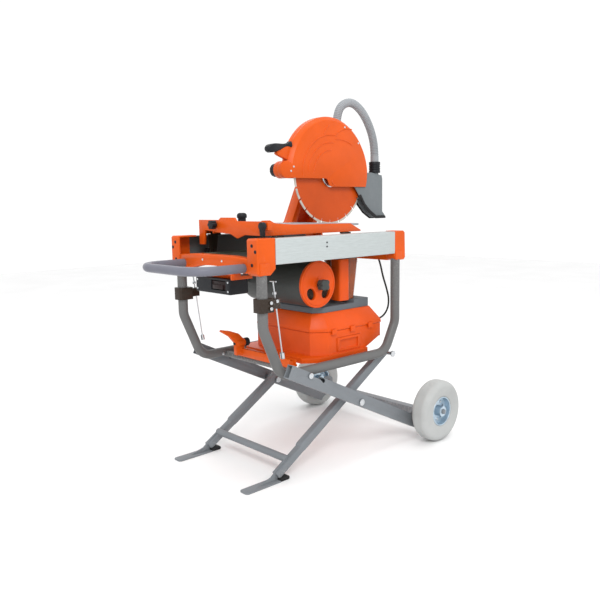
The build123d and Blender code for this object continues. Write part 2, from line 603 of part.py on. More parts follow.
# side view of an apron: high at the front corner, low at the slanted rear end
APRON = [(TABLE_X0, 901), (TABLE_X0, 955), (-292, 955), (-270, 944), (-180, 937), (122, 932),
         (TABLE_X1, 905), (TABLE_X1, 900)]
# front wall across the machine, (Y, Z): hump beside the far corner, V notch below
FENCE = [(TABLE_Y0, 901), (-98, 903), (-54, 889), (-12, 905), (60, 909), (150, 917),
         (158, 861), (TABLE_Y1, 861), (TABLE_Y1, 956), (60, 956), (47, 965), (-36, 965),
         (-48, 952), (TABLE_Y0, 952)]
with BuildPart() as table_apron:
    for y_far in (TABLE_Y0 + SKIRT_T, TABLE_Y1):
        profile(y_far, SKIRT_T, APRON)
    with BuildSketch(front(TABLE_X0)) as fence:
        Polygon(*FENCE, align=None)
    extrude(fence.sketch, amount=7.9)
    # ribs under the deck
    for rib_x in (-200, -110):
        box_mm(rib_x - 3, rib_x + 3, TABLE_Y0 + 1, TABLE_Y1 - 1, 905, DECK_Z - DECK_T)
    for y in (-120, 20, 100):
        box_mm(TABLE_X0 + 2, 120, y - 3, y + 3, 905, DECK_Z - DECK_T)
    box_mm(128, 134, TABLE_Y0 + 1, TABLE_Y1 - 1, 905, DECK_Z - DECK_T)
    box_mm(SLOT_X0 - 8, TABLE_X1, BLADE_Y - 8, BLADE_Y + 8, 900, DECK_Z, mode=Mode.SUBTRACT)

HANGER_Y0, HANGER_Y1 = 198.0, 204.0
with BuildPart() as roller_hangers:
    for sign, apron_in in ((-1, TABLE_Y0 + SKIRT_T), (1, TABLE_Y1 - SKIRT_T)):
        near_face, far_face = sorted((sign * HANGER_Y0, sign * HANGER_Y1))
        shelf = sorted((apron_in - sign * 4, sign * HANGER_Y1))
        upright = sorted((apron_in - sign * 4, apron_in - sign * GAP))
        for x in ROLLER_X:
            profile(far_face, HANGER_Y1 - HANGER_Y0, [(x - 24, 899), (x + 24, 899), (x + 13, 812),
                                                      (x - 13, 812)])
            box_mm(x - 24, x + 24, *shelf, 893.5, 899)
            box_mm(x - 24, x + 24, *upright, 893.5, DECK_Z - DECK_T - GAP)
            rod_y(x, ROLLER_Z, near_face - 1, far_face + 1, 5.2, mode=Mode.SUBTRACT)

ROLLER_Y0 = 221.0                         # inner face of a roller, from the centre plane
with BuildPart() as roller_axles:
    for sign in (-1, 1):
        y0, y1 = sorted((sign * (HANGER_Y0 - 8), sign * (ROLLER_Y0 + ROLLER_L + 1)))
        head0, head1 = sorted((sign * (HANGER_Y0 - 8), sign * (HANGER_Y0 - GAP)))
        collar0, collar1 = sorted((sign * (HANGER_Y1 + GAP), sign * (ROLLER_Y0 - 1)))
        for x in ROLLER_X:
            rod_y(x, ROLLER_Z, y0, y1, 5)
            rod_y(x, ROLLER_Z, head0, head1, 9)
            rod_y(x, ROLLER_Z, collar0, collar1, 8)
save("roller_hangers", roller_hangers.part, roller_axles.part)


def table_roller(x, sign):
    y0, y1 = sorted((sign * ROLLER_Y0, sign * (ROLLER_Y0 + ROLLER_L)))
    with BuildPart() as roller:
        rod_y(x, ROLLER_Z, y0, y1, ROLLER_R)
        rod_y(x, ROLLER_Z, y0 - 1, y1 + 1, 5.05, mode=Mode.SUBTRACT)
    return roller.part


for end, x in (("front", ROLLER_X[0]), ("rear", ROLLER_X[1])):
    for label, sign in (("near", -1), ("far", 1)):
        save(f"table_roller_{end}_{label}", table_roller(x, sign))

# knob of the table's front stop, lock lever, and the dome knob of the fence clamp
FENCE_KNOB_Y, FENCE_KNOB_Z = 79.0, 938.0
with BuildPart() as fence_knob:
    rod_x(FENCE_KNOB_Y, FENCE_KNOB_Z, TABLE_X0 - 26, TABLE_X0 - 6, 17)
    rod_x(FENCE_KNOB_Y, FENCE_KNOB_Z, TABLE_X0 - 6, TABLE_X0 - GAP, 9)
    for turn in range(6):
        angle = math.radians(60 * turn + 30)
        rod_x(FENCE_KNOB_Y + 20 * math.cos(angle), FENCE_KNOB_Z + 20 * math.sin(angle),
              TABLE_X0 - 27, TABLE_X0 - 6, 6, mode=Mode.SUBTRACT)
save("fence_knob", fence_knob.part)

LOCK_Y, LOCK_Z = -214.0, 936.0
with BuildPart() as table_lock_lever:
    rod_x(LOCK_Y, LOCK_Z, TABLE_X0 - 20, TABLE_X0 + 22, 5)
    rod_x(LOCK_Y, LOCK_Z, TABLE_X0 - 20, TABLE_X0 - 6, 14)
    with BuildSketch(front(TABLE_X0 - 19)) as lever:
        Polygon((LOCK_Y - 12, LOCK_Z), (LOCK_Y + 12, LOCK_Z + 2), (LOCK_Y + 6, LOCK_Z - 34),
                (LOCK_Y - 13, LOCK_Z - 34), align=None)
    extrude(lever.sketch, amount=9)
save("table_lock_lever", table_lock_lever.part)

with BuildPart() as lock_block:
    box_mm(TABLE_X0 + 2, TABLE_X0 + 24, -226, TABLE_Y0 - GAP, 922, 950)
    rod_x(LOCK_Y, LOCK_Z, TABLE_X0, TABLE_X0 + 26, 5.05, mode=Mode.SUBTRACT)

CLAMP_X, CLAMP_Y = -175.0, 112.0
with BuildPart() as clamp_knob:
    rod_z(CLAMP_X, CLAMP_Y, DECK_Z + 8 + GAP, 962, 16)
    rod_z(CLAMP_X, CLAMP_Y, 960, 980, 20)
    fillet(clamp_knob.faces().sort_by(Axis.Z)[-1].edges(), 12)
save("clamp_knob", clamp_knob.part)

with BuildPart() as clamp_foot:
    box_mm(CLAMP_X - 26, CLAMP_X + 26, CLAMP_Y - 20, CLAMP_Y + 20, DECK_Z + GAP, DECK_Z + 8)
    chamfer(clamp_foot.edges().filter_by(Axis.Z), 6)
save("table_apron", table_apron.part, lock_block.part, clamp_foot.part)

# ---- switch box under the front cross member ------------------------------------------------
with BuildPart() as switch_plate:
    box_mm(-372, -312, -118, 185, 746, 758)
    box_mm(-404, -366, -118, 118, 746, 772)
    box_mm(-404, -372, -108, 108, 745, 764, mode=Mode.SUBTRACT)
    for y in (-112, 111):
        box_mm(-372, -366, y - 4, y + 4, 746, 774)
save("cross_members", front_cross_member.part, rear_cross_member.part, switch_plate.part)

SWITCH_X0, SWITCH_X1 = -392.0, -305.0
with BuildPart() as switch_box:
    box_mm(SWITCH_X0, SWITCH_X1, -86, 132, 688, 745.5)
    fillet(switch_box.edges().filter_by(Axis.Z), 8)
    fillet(switch_box.faces().sort_by(Axis.Z)[0].edges(), 5)
    # recess for the paddle, and the lug with a padlock hole at the far end
    box_mm(SWITCH_X0 - 1, SWITCH_X0 + 14, -60, 30, 702, 738, mode=Mode.SUBTRACT)
    box_mm(-366, -336, 128, 164, 684, 702)
    rod_z(-351, 150, 680, 710, 9, mode=Mode.SUBTRACT)
save("switch_box", switch_box.part)

PADDLE_HINGE = (SWITCH_X0 + 7, 732.0)
with BuildPart() as switch_paddle:
    rod_y(*PADDLE_HINGE, -58, 28, 4)
    box_mm(SWITCH_X0 + 4, SWITCH_X0 + 9, -58, 28, 706, 732)
    box_mm(SWITCH_X0 - 3, SWITCH_X0 + 5, -46, 16, 706, 722)
save("switch_paddle", switch_paddle.part)

# ---- dust tub between the cradle tubes ----------------------------------------------------
TUB_Y, TUB_Z0, TUB_SEAM, TUB_WALL = 204.0, 403.5, 514.0, 4.0
DRAWER_X0, DRAWER_X1, DRAWER_Z0, DRAWER_Z1 = 36.0, 170.0, 424.0, 484.0


def tub_plan(x0, x1, y, corner):
    """Plan of the tub: a rectangle with its front corners cut off."""
    Polygon((x0, -y + corner), (x0 + corner * 1.3, -y), (x1, -y), (x1, y), (x0 + corner * 1.3, y),
            (x0, y - corner), align=None)


with BuildPart() as tub_lower:
    with BuildSketch(level(TUB_Z0)):
        tub_plan(-126, 206, TUB_Y + 10, 44)
    extrude(amount=20)
    with BuildSketch(level(TUB_Z0 + 20)):
        tub_plan(-70, 296, TUB_Y, 44)
    extrude(amount=TUB_SEAM - TUB_Z0 - 20)
    profile(300, 600, [(210, 400), (210, 424), (286, 458), (300, 458), (300, 400)],
            mode=Mode.SUBTRACT)
    with BuildSketch(level(TUB_Z0 + 24)):
        tub_plan(-70 + TUB_WALL, 200, TUB_Y - TUB_WALL, 42)
    extrude(amount=TUB_SEAM - TUB_Z0, mode=Mode.SUBTRACT)
    # drawer mouth in the near face
    box_mm(DRAWER_X0 - 1, DRAWER_X1 + 1, -TUB_Y - 1, -TUB_Y + 10, DRAWER_Z0 + 4.5, DRAWER_Z1 + 1,
           mode=Mode.SUBTRACT)
save("tub_lower", tub_lower.part)

with BuildPart() as tub_hood:
    with BuildSketch(level(TUB_SEAM + 1)):
        tub_plan(-74, 300, TUB_Y + 4, 46)
    with BuildSketch(level(TUB_SEAM + 16)):
        tub_plan(-72, 298, TUB_Y + 2, 46)
    with BuildSketch(level(LID_Z0 - 0.5)):
        tub_plan(-44, 262, TUB_Y - 30, 30)
    loft(ruled=True)
    with BuildSketch(level(TUB_SEAM + 1)):
        tub_plan(-66, 292, TUB_Y - 4, 42)
    with BuildSketch(level(LID_Z0 - 6)):
        tub_plan(-38, 256, TUB_Y - 38, 26)
    loft(ruled=True, mode=Mode.SUBTRACT)
save("tub_hood", tub_hood.part)

with BuildPart() as tub_lid:
    with BuildSketch(level(LID_Z0)):
        tub_plan(-42, 256, TUB_Y - 32, 28)
    extrude(amount=LID_Z1 - LID_Z0)
    # raised step under the cyclones and the saddle that the canister rests in
    box_mm(170, 256, -172, 172, LID_Z1 - 1, 622)
    box_mm(-36, 30, -150, 150, LID_Z1 - 1, 640)
    rod_y(CAN_X, CAN_Z, -200, 200, CAN_R + GAP, mode=Mode.SUBTRACT)
save("tub_lid", tub_lid.part)

with BuildPart() as dust_drawer:
    box_mm(DRAWER_X0, DRAWER_X1, -TUB_Y - 3, -TUB_Y + 9, DRAWER_Z0 + 5, DRAWER_Z1)
    box_mm(DRAWER_X0 + 2, DRAWER_X1 - 2, -TUB_Y + 9, 150, DRAWER_Z0 + 5, DRAWER_Z1 - 4)
    box_mm(DRAWER_X0 + 5, DRAWER_X1 - 5, -TUB_Y + 12, 147, DRAWER_Z0 + 8, DRAWER_Z1 + 1,
           mode=Mode.SUBTRACT)
    # finger pocket in the drawer's front
    box_mm(50, 156, -TUB_Y - 4, -TUB_Y + 5, 436, 474, mode=Mode.SUBTRACT)
save("dust_drawer", dust_drawer.part)

# ---- filter canister, its fan cap and crank -----------------------------------------------
with BuildPart() as canister:
    rod_y(CAN_X, CAN_Z, CAN_Y0 + 12, CAN_Y1, CAN_R)
    rod_y(CAN_X, CAN_Z, CAN_Y1, CAN_Y1 + 22, 62)
    # cable gland bracket on the far end
    box_mm(-148, -112, 120, 168, 700, 726)
    rod_y(CAN_X, CAN_Z, CAN_Y0 + 10, CAN_Y1 - 4, CAN_R - 4, mode=Mode.SUBTRACT)
save("canister", canister.part)

with BuildPart() as canister_cap:
    rod_y(CAN_X, CAN_Z, CAN_Y0, CAN_Y0 + 11.7, CAN_R + 3)
    fillet(canister_cap.faces().sort_by(Axis.Y)[0].edges(), 4)
    # two air openings, lower left and lower right, with a spoke between them
    with BuildSketch(side(CAN_Y0 + 20)) as air_openings:
        for turn in (222, 318):
            angle = math.radians(turn)
            with Locations((CAN_X + 52 * math.cos(angle), CAN_Z + 52 * math.sin(angle))):
                Ellipse(25, 20, rotation=turn - 90)
    extrude(air_openings.sketch, amount=40, mode=Mode.SUBTRACT)
    rod_y(CAN_X, CAN_Z, CAN_Y0 - 1, CAN_Y0 + 13, 8.1, mode=Mode.SUBTRACT)
with BuildPart() as cyclone_duct:
    box_mm(84, 140, -178, -120, 624, 790)
    fillet(cyclone_duct.edges().filter_by(Axis.Z), 12)
save("canister_cap", canister_cap.part, cyclone_duct.part)

with BuildPart() as crank_knob:
    rod_y(CAN_X, CAN_Z, CAN_Y0 - 40, CAN_Y0 + 11, 8)
    with BuildSketch(side(CAN_Y0 - 14)):
        with Locations((CAN_X, CAN_Z)):
            with PolarLocations(12, 4, start_angle=45):
                Circle(11)
            Rectangle(32, 32)
    extrude(amount=26)
save("crank_knob", crank_knob.part)

with BuildPart() as filter_cartridge:
    rod_y(CAN_X, CAN_Z, CAN_Y0 + 16, CAN_Y1 - 10, 78)
    rod_y(CAN_X, CAN_Z, CAN_Y0 + 12, CAN_Y0 + 16, 20)
    rod_y(CAN_X, CAN_Z, CAN_Y0 + 10, CAN_Y0 + 22, 8.1, mode=Mode.SUBTRACT)
    for pleat in range(24):
        angle = math.radians(15 * pleat)
        rod_y(CAN_X + 78 * math.cos(angle), CAN_Z + 78 * math.sin(angle), CAN_Y0 + 24, CAN_Y1 - 18,
              3.5, mode=Mode.SUBTRACT)
save("filter_cartridge", filter_cartridge.part)

CONE_X, CONE_Y = 178.0, -134.0
with BuildPart() as cyclone_cones:
    for cone_x, cone_y in ((CONE_X, CONE_Y), (CONE_X + 4, CONE_Y + 92)):
        with Locations(Location((cone_x, cone_y, 622.5 + 75))):
            Cone(20, 36, 149)
        rod_z(cone_x, cone_y, 772, 790, 37)
save("cyclone_cones", cyclone_cones.part)

# ---- scissor stand: leg frame -------------------------------------------------------------
LEG_DIR = (-math.cos(LEG_ANGLE), 0, -math.sin(LEG_ANGLE))
LEG_KNEE, LEG_END = 572.0, 706.0          # distance from pivot A along the leg
CROSSBAR_X, CROSSBAR_Z = -251.0, 70.0
FOOT_TIP, FOOT_HEEL, FOOT_W, FOOT_T = -459.0, -268.0, 46.0, 5.0


def leg_plane(y_far):
    """Side sketch plane with its origin on pivot A and x down along the leg."""
    return Plane(origin=(PIVOT_A[0], y_far, PIVOT_A[1]), x_dir=LEG_DIR, z_dir=(0, -1, 0))


with BuildPart() as leg_frame:
    for sign in (-1, 1):
        y_far = sign * LEG_Y + LEG_T / 2
        with BuildSketch(leg_plane(y_far)) as leg_side:
            with Locations(((LEG_KNEE - 17) / 2, 0)):
                SlotOverall(LEG_KNEE + 17, 34)
            with Locations(((LEG_KNEE - 60 + LEG_END) / 2, 2)):
                Rectangle(LEG_END - LEG_KNEE + 60, 26)
        extrude(leg_side.sketch, amount=LEG_T)
        with BuildSketch(leg_plane(y_far - 3)) as leg_hollow:
            with Locations((LEG_KNEE / 2 + 10, 0)):
                SlotOverall(LEG_KNEE - 60, 28)
        extrude(leg_hollow.sketch, amount=LEG_T - 6, mode=Mode.SUBTRACT)
        # gusset down to the foot, then the flat foot with its rounded, lifted tip
        profile(sign * LEG_Y + 3, 6, [(-270, 34), (-210, 88), (-262, 70), (-330, 20), (-400, 4),
                                      (-300, 4)])
        with BuildSketch(level(0)) as foot_plate:
            with Locations(((FOOT_TIP + FOOT_HEEL) / 2, sign * LEG_Y)):
                RectangleRounded(FOOT_HEEL - FOOT_TIP, FOOT_W, 12)
        extrude(foot_plate.sketch, amount=FOOT_T)
    box_mm(-500, -200, -300, 300, -60, 0, mode=Mode.SUBTRACT)
    rod_y(CROSSBAR_X, CROSSBAR_Z, -LEG_Y, LEG_Y, 14)
    for sign in (-1, 1):
        y_mid = sign * LEG_Y
        rod_y(*PIVOT_A, y_mid - 20, y_mid + 20, BORE_R, mode=Mode.SUBTRACT)
        rod_y(*PIVOT_B, y_mid - 20, y_mid + 20, BOLT_R + GAP, mode=Mode.SUBTRACT)
    # heels are cut back for the rubber pads
    box_mm(-300, -262, -LEG_Y - 24, -LEG_Y + 24, -1, 14, mode=Mode.SUBTRACT)
    box_mm(-300, -262, LEG_Y - 24, LEG_Y + 24, -1, 14, mode=Mode.SUBTRACT)
save("leg_frame", leg_frame.part)

with BuildPart() as foot_pads:
    for sign in (-1, 1):
        box_mm(-299.7, -256, sign * LEG_Y - 22, sign * LEG_Y + 22, 0, 13.7)
    fillet(foot_pads.edges().filter_by(Axis.Y).group_by(Axis.X)[-1], 5)
save("foot_pads", foot_pads.part)

# ---- scissor stand: wheel arms with the axle ----------------------------------------------
ARM_DIR = (math.cos(ARM_ANGLE), 0, -math.sin(ARM_ANGLE))
ARM_S0, ARM_S1, ARM_RISE = -413.0, 392.0, 8.0


def arm_plane(y_far):
    """Side sketch plane with its origin on pivot B, x rearward along the arm, y up across it."""
    return Plane(origin=(PIVOT_B[0], y_far, PIVOT_B[1]), x_dir=ARM_DIR, z_dir=(0, -1, 0))


def turn(x, z, angle):
    """Rotate a side-view vector by the right-hand rule about +Y."""
    return (x * math.cos(angle) + z * math.sin(angle), z * math.cos(angle) - x * math.sin(angle))


def pin_in_arm(fold):
    """Where the cradle pin stands in the arm's own plane when the legs have turned by fold."""
    bx, bz = turn(PIVOT_B[0] - PIVOT_A[0], PIVOT_B[1] - PIVOT_A[1], fold)
    to_pin = (PIN_P[0] - PIVOT_A[0] - bx, PIN_P[1] - PIVOT_A[1] - bz)
    x, z = turn(*to_pin, -(1 + FOLD_RATIO) * fold)
    return (x * math.cos(ARM_ANGLE) - z * math.sin(ARM_ANGLE),
            x * math.sin(ARM_ANGLE) + z * math.cos(ARM_ANGLE))


with BuildPart() as wheel_frame:
    for y_far in (-ARM_Y0, ARM_Y1):
        with BuildSketch(arm_plane(y_far)) as arm_side:
            with Locations(((ARM_S0 + ARM_S1) / 2, ARM_RISE)):
                Rectangle(ARM_S1 - ARM_S0, ARM_H)
        extrude(arm_side.sketch, amount=ARM_Y1 - ARM_Y0)
        with BuildSketch(arm_plane(y_far - 3)) as arm_hollow:
            with Locations(((ARM_S0 + ARM_S1) / 2, ARM_RISE)):
                Rectangle(ARM_S1 - ARM_S0 + 2, ARM_H - 6)
        extrude(arm_hollow.sketch, amount=ARM_Y1 - ARM_Y0 - 6, mode=Mode.SUBTRACT)
        # end plate that carries the axle above the arm's lower end
        profile(y_far - 8, 12, [(366, 96), (400, 62), (426, 57), (478, 84), (500, 112), (500, 146),
                                (488, 158), (454, 158), (442, 148)])
        with BuildSketch(arm_plane(y_far + 1)) as pin_slot:
            with BuildLine() as slot_line:
                ThreePointArc(pin_in_arm(0), pin_in_arm(FOLD_MAX / 2), pin_in_arm(FOLD_MAX))
            SlotArc(slot_line.edge(), 2 * PIN_R + 1.6)
        extrude(pin_slot.sketch, amount=ARM_Y1 - ARM_Y0 + 2, mode=Mode.SUBTRACT)
    # square axle beam between the arms
    box_mm(453, 489, -ARM_Y1 + 14, ARM_Y1 - 14, 84, 120)
    box_mm(456, 486, -ARM_Y1 + 20, ARM_Y1 - 20, 87, 117, mode=Mode.SUBTRACT)
    for sign in (-1, 1):
        y0, y1 = sorted((sign * (ARM_Y0 + 4), sign * 411))
        rod_y(AXLE_X, AXLE_Z, y0, y1, AXLE_R)
        y0, y1 = sorted((sign * (ARM_Y0 + 4), sign * 312))
        rod_y(AXLE_X, AXLE_Z, y0, y1, 15)
        y0, y1 = sorted((sign * (ARM_Y0 - 1), sign * (ARM_Y1 + 1)))
        rod_y(*PIVOT_B, y0, y1, BORE_R, mode=Mode.SUBTRACT)
save("wheel_frame", wheel_frame.part)

with BuildPart() as pivot_bolts:
    for sign in (-1, 1):
        # scissor bolt at B, fixed in the leg, with a spacer between leg and arm
        for y0, y1, radius in ((196, ARM_Y1 + 1, BOLT_R), (ARM_Y1 + GAP, ARM_Y1 + 7, 13),
                               (LEG_Y + LEG_T / 2 + GAP, ARM_Y0 - GAP, 14), (194, 202.7, 13)):
            rod_y(*PIVOT_B, *sorted((sign * y0, sign * y1)), radius)
save("scissor_bolts", pivot_bolts.part)

with BuildPart() as cradle_pins:
    for sign in (-1, 1):
        # leg pivot at A, fixed in the bent tube, and the pin that rides in the arm's slot
        for y0, y1, radius in ((197, 274, BOLT_R), (268.5, 276, 13), (194, LEG_Y - LEG_T / 2 - GAP, 13)):
            rod_y(*PIVOT_A, *sorted((sign * y0, sign * y1)), radius)
        for y0, y1, radius in ((226, ARM_Y1 + 2, PIN_R), (ARM_Y1 + 1, ARM_Y1 + 6, 11)):
            rod_y(*PIN_P, *sorted((sign * y0, sign * y1)), radius)
save("cradle_pins", cradle_pins.part)

# ---- wheels -------------------------------------------------------------------------------
def wheel_parts(sign):
    """Flat-free tyre and pressed steel rim of one wheel."""
    y_mid = sign * WHEEL_Y
    with BuildPart() as tyre:
        with BuildSketch(front(AXLE_X)) as section:
            with Locations((y_mid, AXLE_Z + (WHEEL_R + RIM_R) / 2)):
                RectangleRounded(WHEEL_W, WHEEL_R - RIM_R, 26)
                with Locations((0, -(WHEEL_R - RIM_R) / 2)):
                    Rectangle(WHEEL_W - 20, 16)
        revolve(section.sketch, axis=Axis((AXLE_X, 0, AXLE_Z), (0, 1, 0)))
        rod_y(AXLE_X, AXLE_Z, y_mid - 60, y_mid + 60, RIM_R + GAP, mode=Mode.SUBTRACT)
    with BuildPart() as rim:
        rod_y(AXLE_X, AXLE_Z, y_mid - 32, y_mid + 32, RIM_R)
        for side_sign in (-1, 1):
            y0, y1 = sorted((y_mid + side_sign * 6, y_mid + side_sign * 33))
            rod_y(AXLE_X, AXLE_Z, y0, y1, RIM_R - 5, mode=Mode.SUBTRACT)
        rod_y(AXLE_X, AXLE_Z, y_mid - 38, y_mid + 38, HUB_R)
        for hole in range(5):
            angle = math.radians(72 * hole + 18)
            rod_y(AXLE_X + 40 * math.cos(angle), AXLE_Z + 40 * math.sin(angle),
                  y_mid - 10, y_mid + 10, 7, mode=Mode.SUBTRACT)
        rod_y(AXLE_X, AXLE_Z, y_mid - 40, y_mid + 40, AXLE_R + 0.05, mode=Mode.SUBTRACT)
    return tyre.part, rim.part


for label, sign in (("near", -1), ("far", 1)):
    tyre_part, rim_part = wheel_parts(sign)
    save(f"tyre_{label}", tyre_part)
    save(f"rim_{label}", rim_part)

# ---- clamps on the front tubes, and the latch rods they guide -------------------------------
CLAMP_Z0, CLAMP_Z1 = 642.0, 690.0
TUBE_FRONT_X = TUBE_PATH[0][0]
ROD_FOOT, ROD_TOP, ROD_R = (-289.0, 468.0), (-318.0, 682.0), 2.5
ROD_DIR = Vector(ROD_TOP[0] - ROD_FOOT[0], 0, ROD_TOP[1] - ROD_FOOT[1]).normalized()


def latch_rod_plane(y, distance):
    """Plane across a latch rod, at a distance up the rod from its foot."""
    start = Vector(ROD_FOOT[0], y, ROD_FOOT[1]) + ROD_DIR * distance
    return Plane(origin=start, x_dir=(0, 1, 0), z_dir=ROD_DIR)


with BuildPart() as tube_clamps:
    for sign in (-1, 1):
        y_mid = sign * TUBE_Y
        box_mm(-403, -345, y_mid - 25, y_mid + 25, CLAMP_Z0, CLAMP_Z1)
        box_mm(-346, -304, y_mid - 11, y_mid + 11, CLAMP_Z0 + 8, CLAMP_Z1 - 8)
        rod_z(TUBE_FRONT_X, y_mid, CLAMP_Z0 - 1, CLAMP_Z1 + 1, TUBE_R + GAP, mode=Mode.SUBTRACT)
        with BuildSketch(latch_rod_plane(y_mid, 150)) as rod_hole:
            Circle(ROD_R + 0.4)
        extrude(rod_hole.sketch, amount=100, mode=Mode.SUBTRACT)
    chamfer(tube_clamps.edges().filter_by(Axis.Z).group_by(Axis.X)[0], 8)
with BuildPart() as clamp_bolts:
    for sign in (-1, 1):
        for bolt_z in (CLAMP_Z0 + 14, CLAMP_Z1 - 14):
            y0, y1 = sorted((sign * (TUBE_Y + 25.2), sign * (TUBE_Y + 31)))
            rod_y(-362, bolt_z, y0, y1, 6)
save("tube_clamps", tube_clamps.part, clamp_bolts.part)

with BuildPart() as latch_rods:
    for sign in (-1, 1):
        y_mid = sign * TUBE_Y
        for start, length, radius in ((0, 282, ROD_R), (234, 8, 7), (-3, 22, 8)):
            with BuildSketch(latch_rod_plane(y_mid, start)) as rod_section:
                Circle(radius)
            extrude(rod_section.sketch, amount=length)
        rod_y(ROD_FOOT[0] + ROD_DIR.X * 280, ROD_FOOT[1] + ROD_DIR.Z * 280, y_mid - 16, y_mid + 16,
              ROD_R)
save("latch_rods", latch_rods.part)

# ---- stored mitre guide in front of the tub -----------------------------------------------
with BuildPart() as mitre_guide:
    box_mm(-206, -166, -190, 150, 404.5, 412)
    box_mm(-206, -200, -190, 150, 412, 436)
    box_mm(-176, -170, -190, 150, 412, 430)
    for rib_y in range(-180, 141, 20):
        box_mm(-203, -173, rib_y - 2, rib_y + 2, 412, 426)
    # horn-shaped arm that leans forward at the far end
    profile(112, 16, [(-232, 412), (-196, 412), (-190, 470), (-220, 500), (-262, 516), (-300, 524),
                      (-304, 518), (-262, 492), (-236, 462)])
    rod_x(104, 460, -230, -190, 16)
    rod_x(104, 460, -260, -180, 6.2, mode=Mode.SUBTRACT)
save("mitre_guide", mitre_guide.part)

with BuildPart() as mitre_knob:
    rod_x(104, 460, -240, -188, 6.1)
    rod_x(104, 460, -188, -168, 17)
    fillet(mitre_knob.faces().sort_by(Axis.X)[-1].edges(), 4)
save("mitre_knob", mitre_knob.part)

# ---- cables: each leaves a gland face to face ---------------------------------------------
CABLE_R = 4.0
REAR_CABLE = [(358.4, -100, 786), (400, -100, 786), (424, -98, 740), (440, -97, 690), (462, -98, 640),
              (478, -100, 590), (474, -100, 545), (444, -100, 512), (392, -100, 500),
              (296.4, -100, 500)]
SWITCH_CABLE = [(-330, 132.2, 716), (-330, 162, 716), (-302, 192, 694), (-258, 206, 672),
                (-212, 190, 680), (-180, 150, 712), (-148.2, 150, 712)]
cord_tube("rear_cable", REAR_CABLE, CABLE_R)
cord_tube("switch_cable", SWITCH_CABLE, CABLE_R)
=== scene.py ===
"""Looks of the masonry saw: materials, rounded shells, wheels, hose, cables and small fittings.

Everything is in metres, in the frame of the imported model. +X is the rear, -Y the near side.
"""
import json
import math

import bmesh
import bpy
from mathutils import Matrix, Vector

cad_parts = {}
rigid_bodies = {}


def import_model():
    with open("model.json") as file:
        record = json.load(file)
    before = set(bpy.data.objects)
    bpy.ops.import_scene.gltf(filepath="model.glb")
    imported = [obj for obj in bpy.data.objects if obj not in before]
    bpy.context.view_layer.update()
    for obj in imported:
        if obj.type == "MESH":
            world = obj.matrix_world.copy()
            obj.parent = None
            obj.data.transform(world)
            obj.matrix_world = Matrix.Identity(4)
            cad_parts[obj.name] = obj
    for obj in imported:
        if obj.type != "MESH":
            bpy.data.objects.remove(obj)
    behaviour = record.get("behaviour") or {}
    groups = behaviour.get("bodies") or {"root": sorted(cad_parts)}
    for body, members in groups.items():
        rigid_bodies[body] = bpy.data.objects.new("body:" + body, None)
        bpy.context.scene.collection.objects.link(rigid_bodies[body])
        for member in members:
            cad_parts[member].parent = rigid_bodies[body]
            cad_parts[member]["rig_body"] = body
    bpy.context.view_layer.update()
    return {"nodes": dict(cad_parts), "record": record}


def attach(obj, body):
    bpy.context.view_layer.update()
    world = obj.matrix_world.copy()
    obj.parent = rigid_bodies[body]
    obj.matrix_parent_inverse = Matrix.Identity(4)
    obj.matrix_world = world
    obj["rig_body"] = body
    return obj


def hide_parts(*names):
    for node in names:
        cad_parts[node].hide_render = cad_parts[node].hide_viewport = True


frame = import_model()
NODES = frame["nodes"]
MM = 0.001
# Near-black colour of the painted shade on the table deck's underside and the rails' inner faces.
PAINTED_SHADE_COLOUR = (0.016, 0.016, 0.015)

# ---- camera, as the fit to the photo placed it ----------------------------------------------
CAMERA_PLACE = (-1.80695, -1.99511, 1.00602)
CAMERA_TURN = (47.3825, -8.1436, -0.9394)
CAMERA_LENS, CAMERA_SENSOR = 39.745, 36


def make_camera():
    """The view from in front of the near side, slightly above the table."""
    yaw, pitch, roll = (math.radians(a) for a in CAMERA_TURN)
    forward = Vector((math.cos(yaw) * math.cos(pitch), math.sin(yaw) * math.cos(pitch),
                      math.sin(pitch)))
    right = forward.cross(Vector((0, 0, 1))).normalized()
    up = right.cross(forward)
    right_rolled = right * math.cos(roll) + up * math.sin(roll)
    up_rolled = up * math.cos(roll) - right * math.sin(roll)
    data = bpy.data.cameras.new("camera")
    data.sensor_width = CAMERA_SENSOR
    data.lens = CAMERA_LENS
    camera = bpy.data.objects.new("camera", data)
    bpy.context.scene.collection.objects.link(camera)
    axes = Matrix((right_rolled, up_rolled, -forward)).transposed().to_4x4()
    camera.matrix_world = Matrix.Translation(CAMERA_PLACE) @ axes
    bpy.context.scene.camera = camera


make_camera()
bpy.context.scene.view_settings.view_transform = "Standard"


# ---- material kit -------------------------------------------------------------------------
def new_material(name):
    material = bpy.data.materials.new(name)
    material.use_nodes = True
    return material, material.node_tree.nodes, material.node_tree.links


def noise(nodes, links, scale, detail=4.0, rough=0.55, stretch=None):
    """A noise texture in object space; stretch squeezes it along an axis for brushed metal."""
    coords = nodes.new("ShaderNodeTexCoord")
    texture = nodes.new("ShaderNodeTexNoise")
    texture.inputs["Scale"].default_value = scale
    texture.inputs["Detail"].default_value = detail
    texture.inputs["Roughness"].default_value = rough
    if stretch:
        mapping = nodes.new("ShaderNodeMapping")
        mapping.inputs["Scale"].default_value = stretch
        links.new(coords.outputs["Object"], mapping.inputs["Vector"])
        links.new(mapping.outputs["Vector"], texture.inputs["Vector"])
    else:
        links.new(coords.outputs["Object"], texture.inputs["Vector"])
    return texture.outputs["Fac"]


def ramp(nodes, links, source, stops):
    """A colour ramp over a value; stops are (position, colour)."""
    node = nodes.new("ShaderNodeValToRGB")
    elements = node.color_ramp.elements
    while len(elements) < len(stops):
        elements.new(0.5)
    for element, (position, colour) in zip(elements, stops):
        element.position = position
        element.color = (*colour, 1) if len(colour) == 3 else colour
    links.new(source, node.inputs["Fac"])
    return node.outputs["Color"]


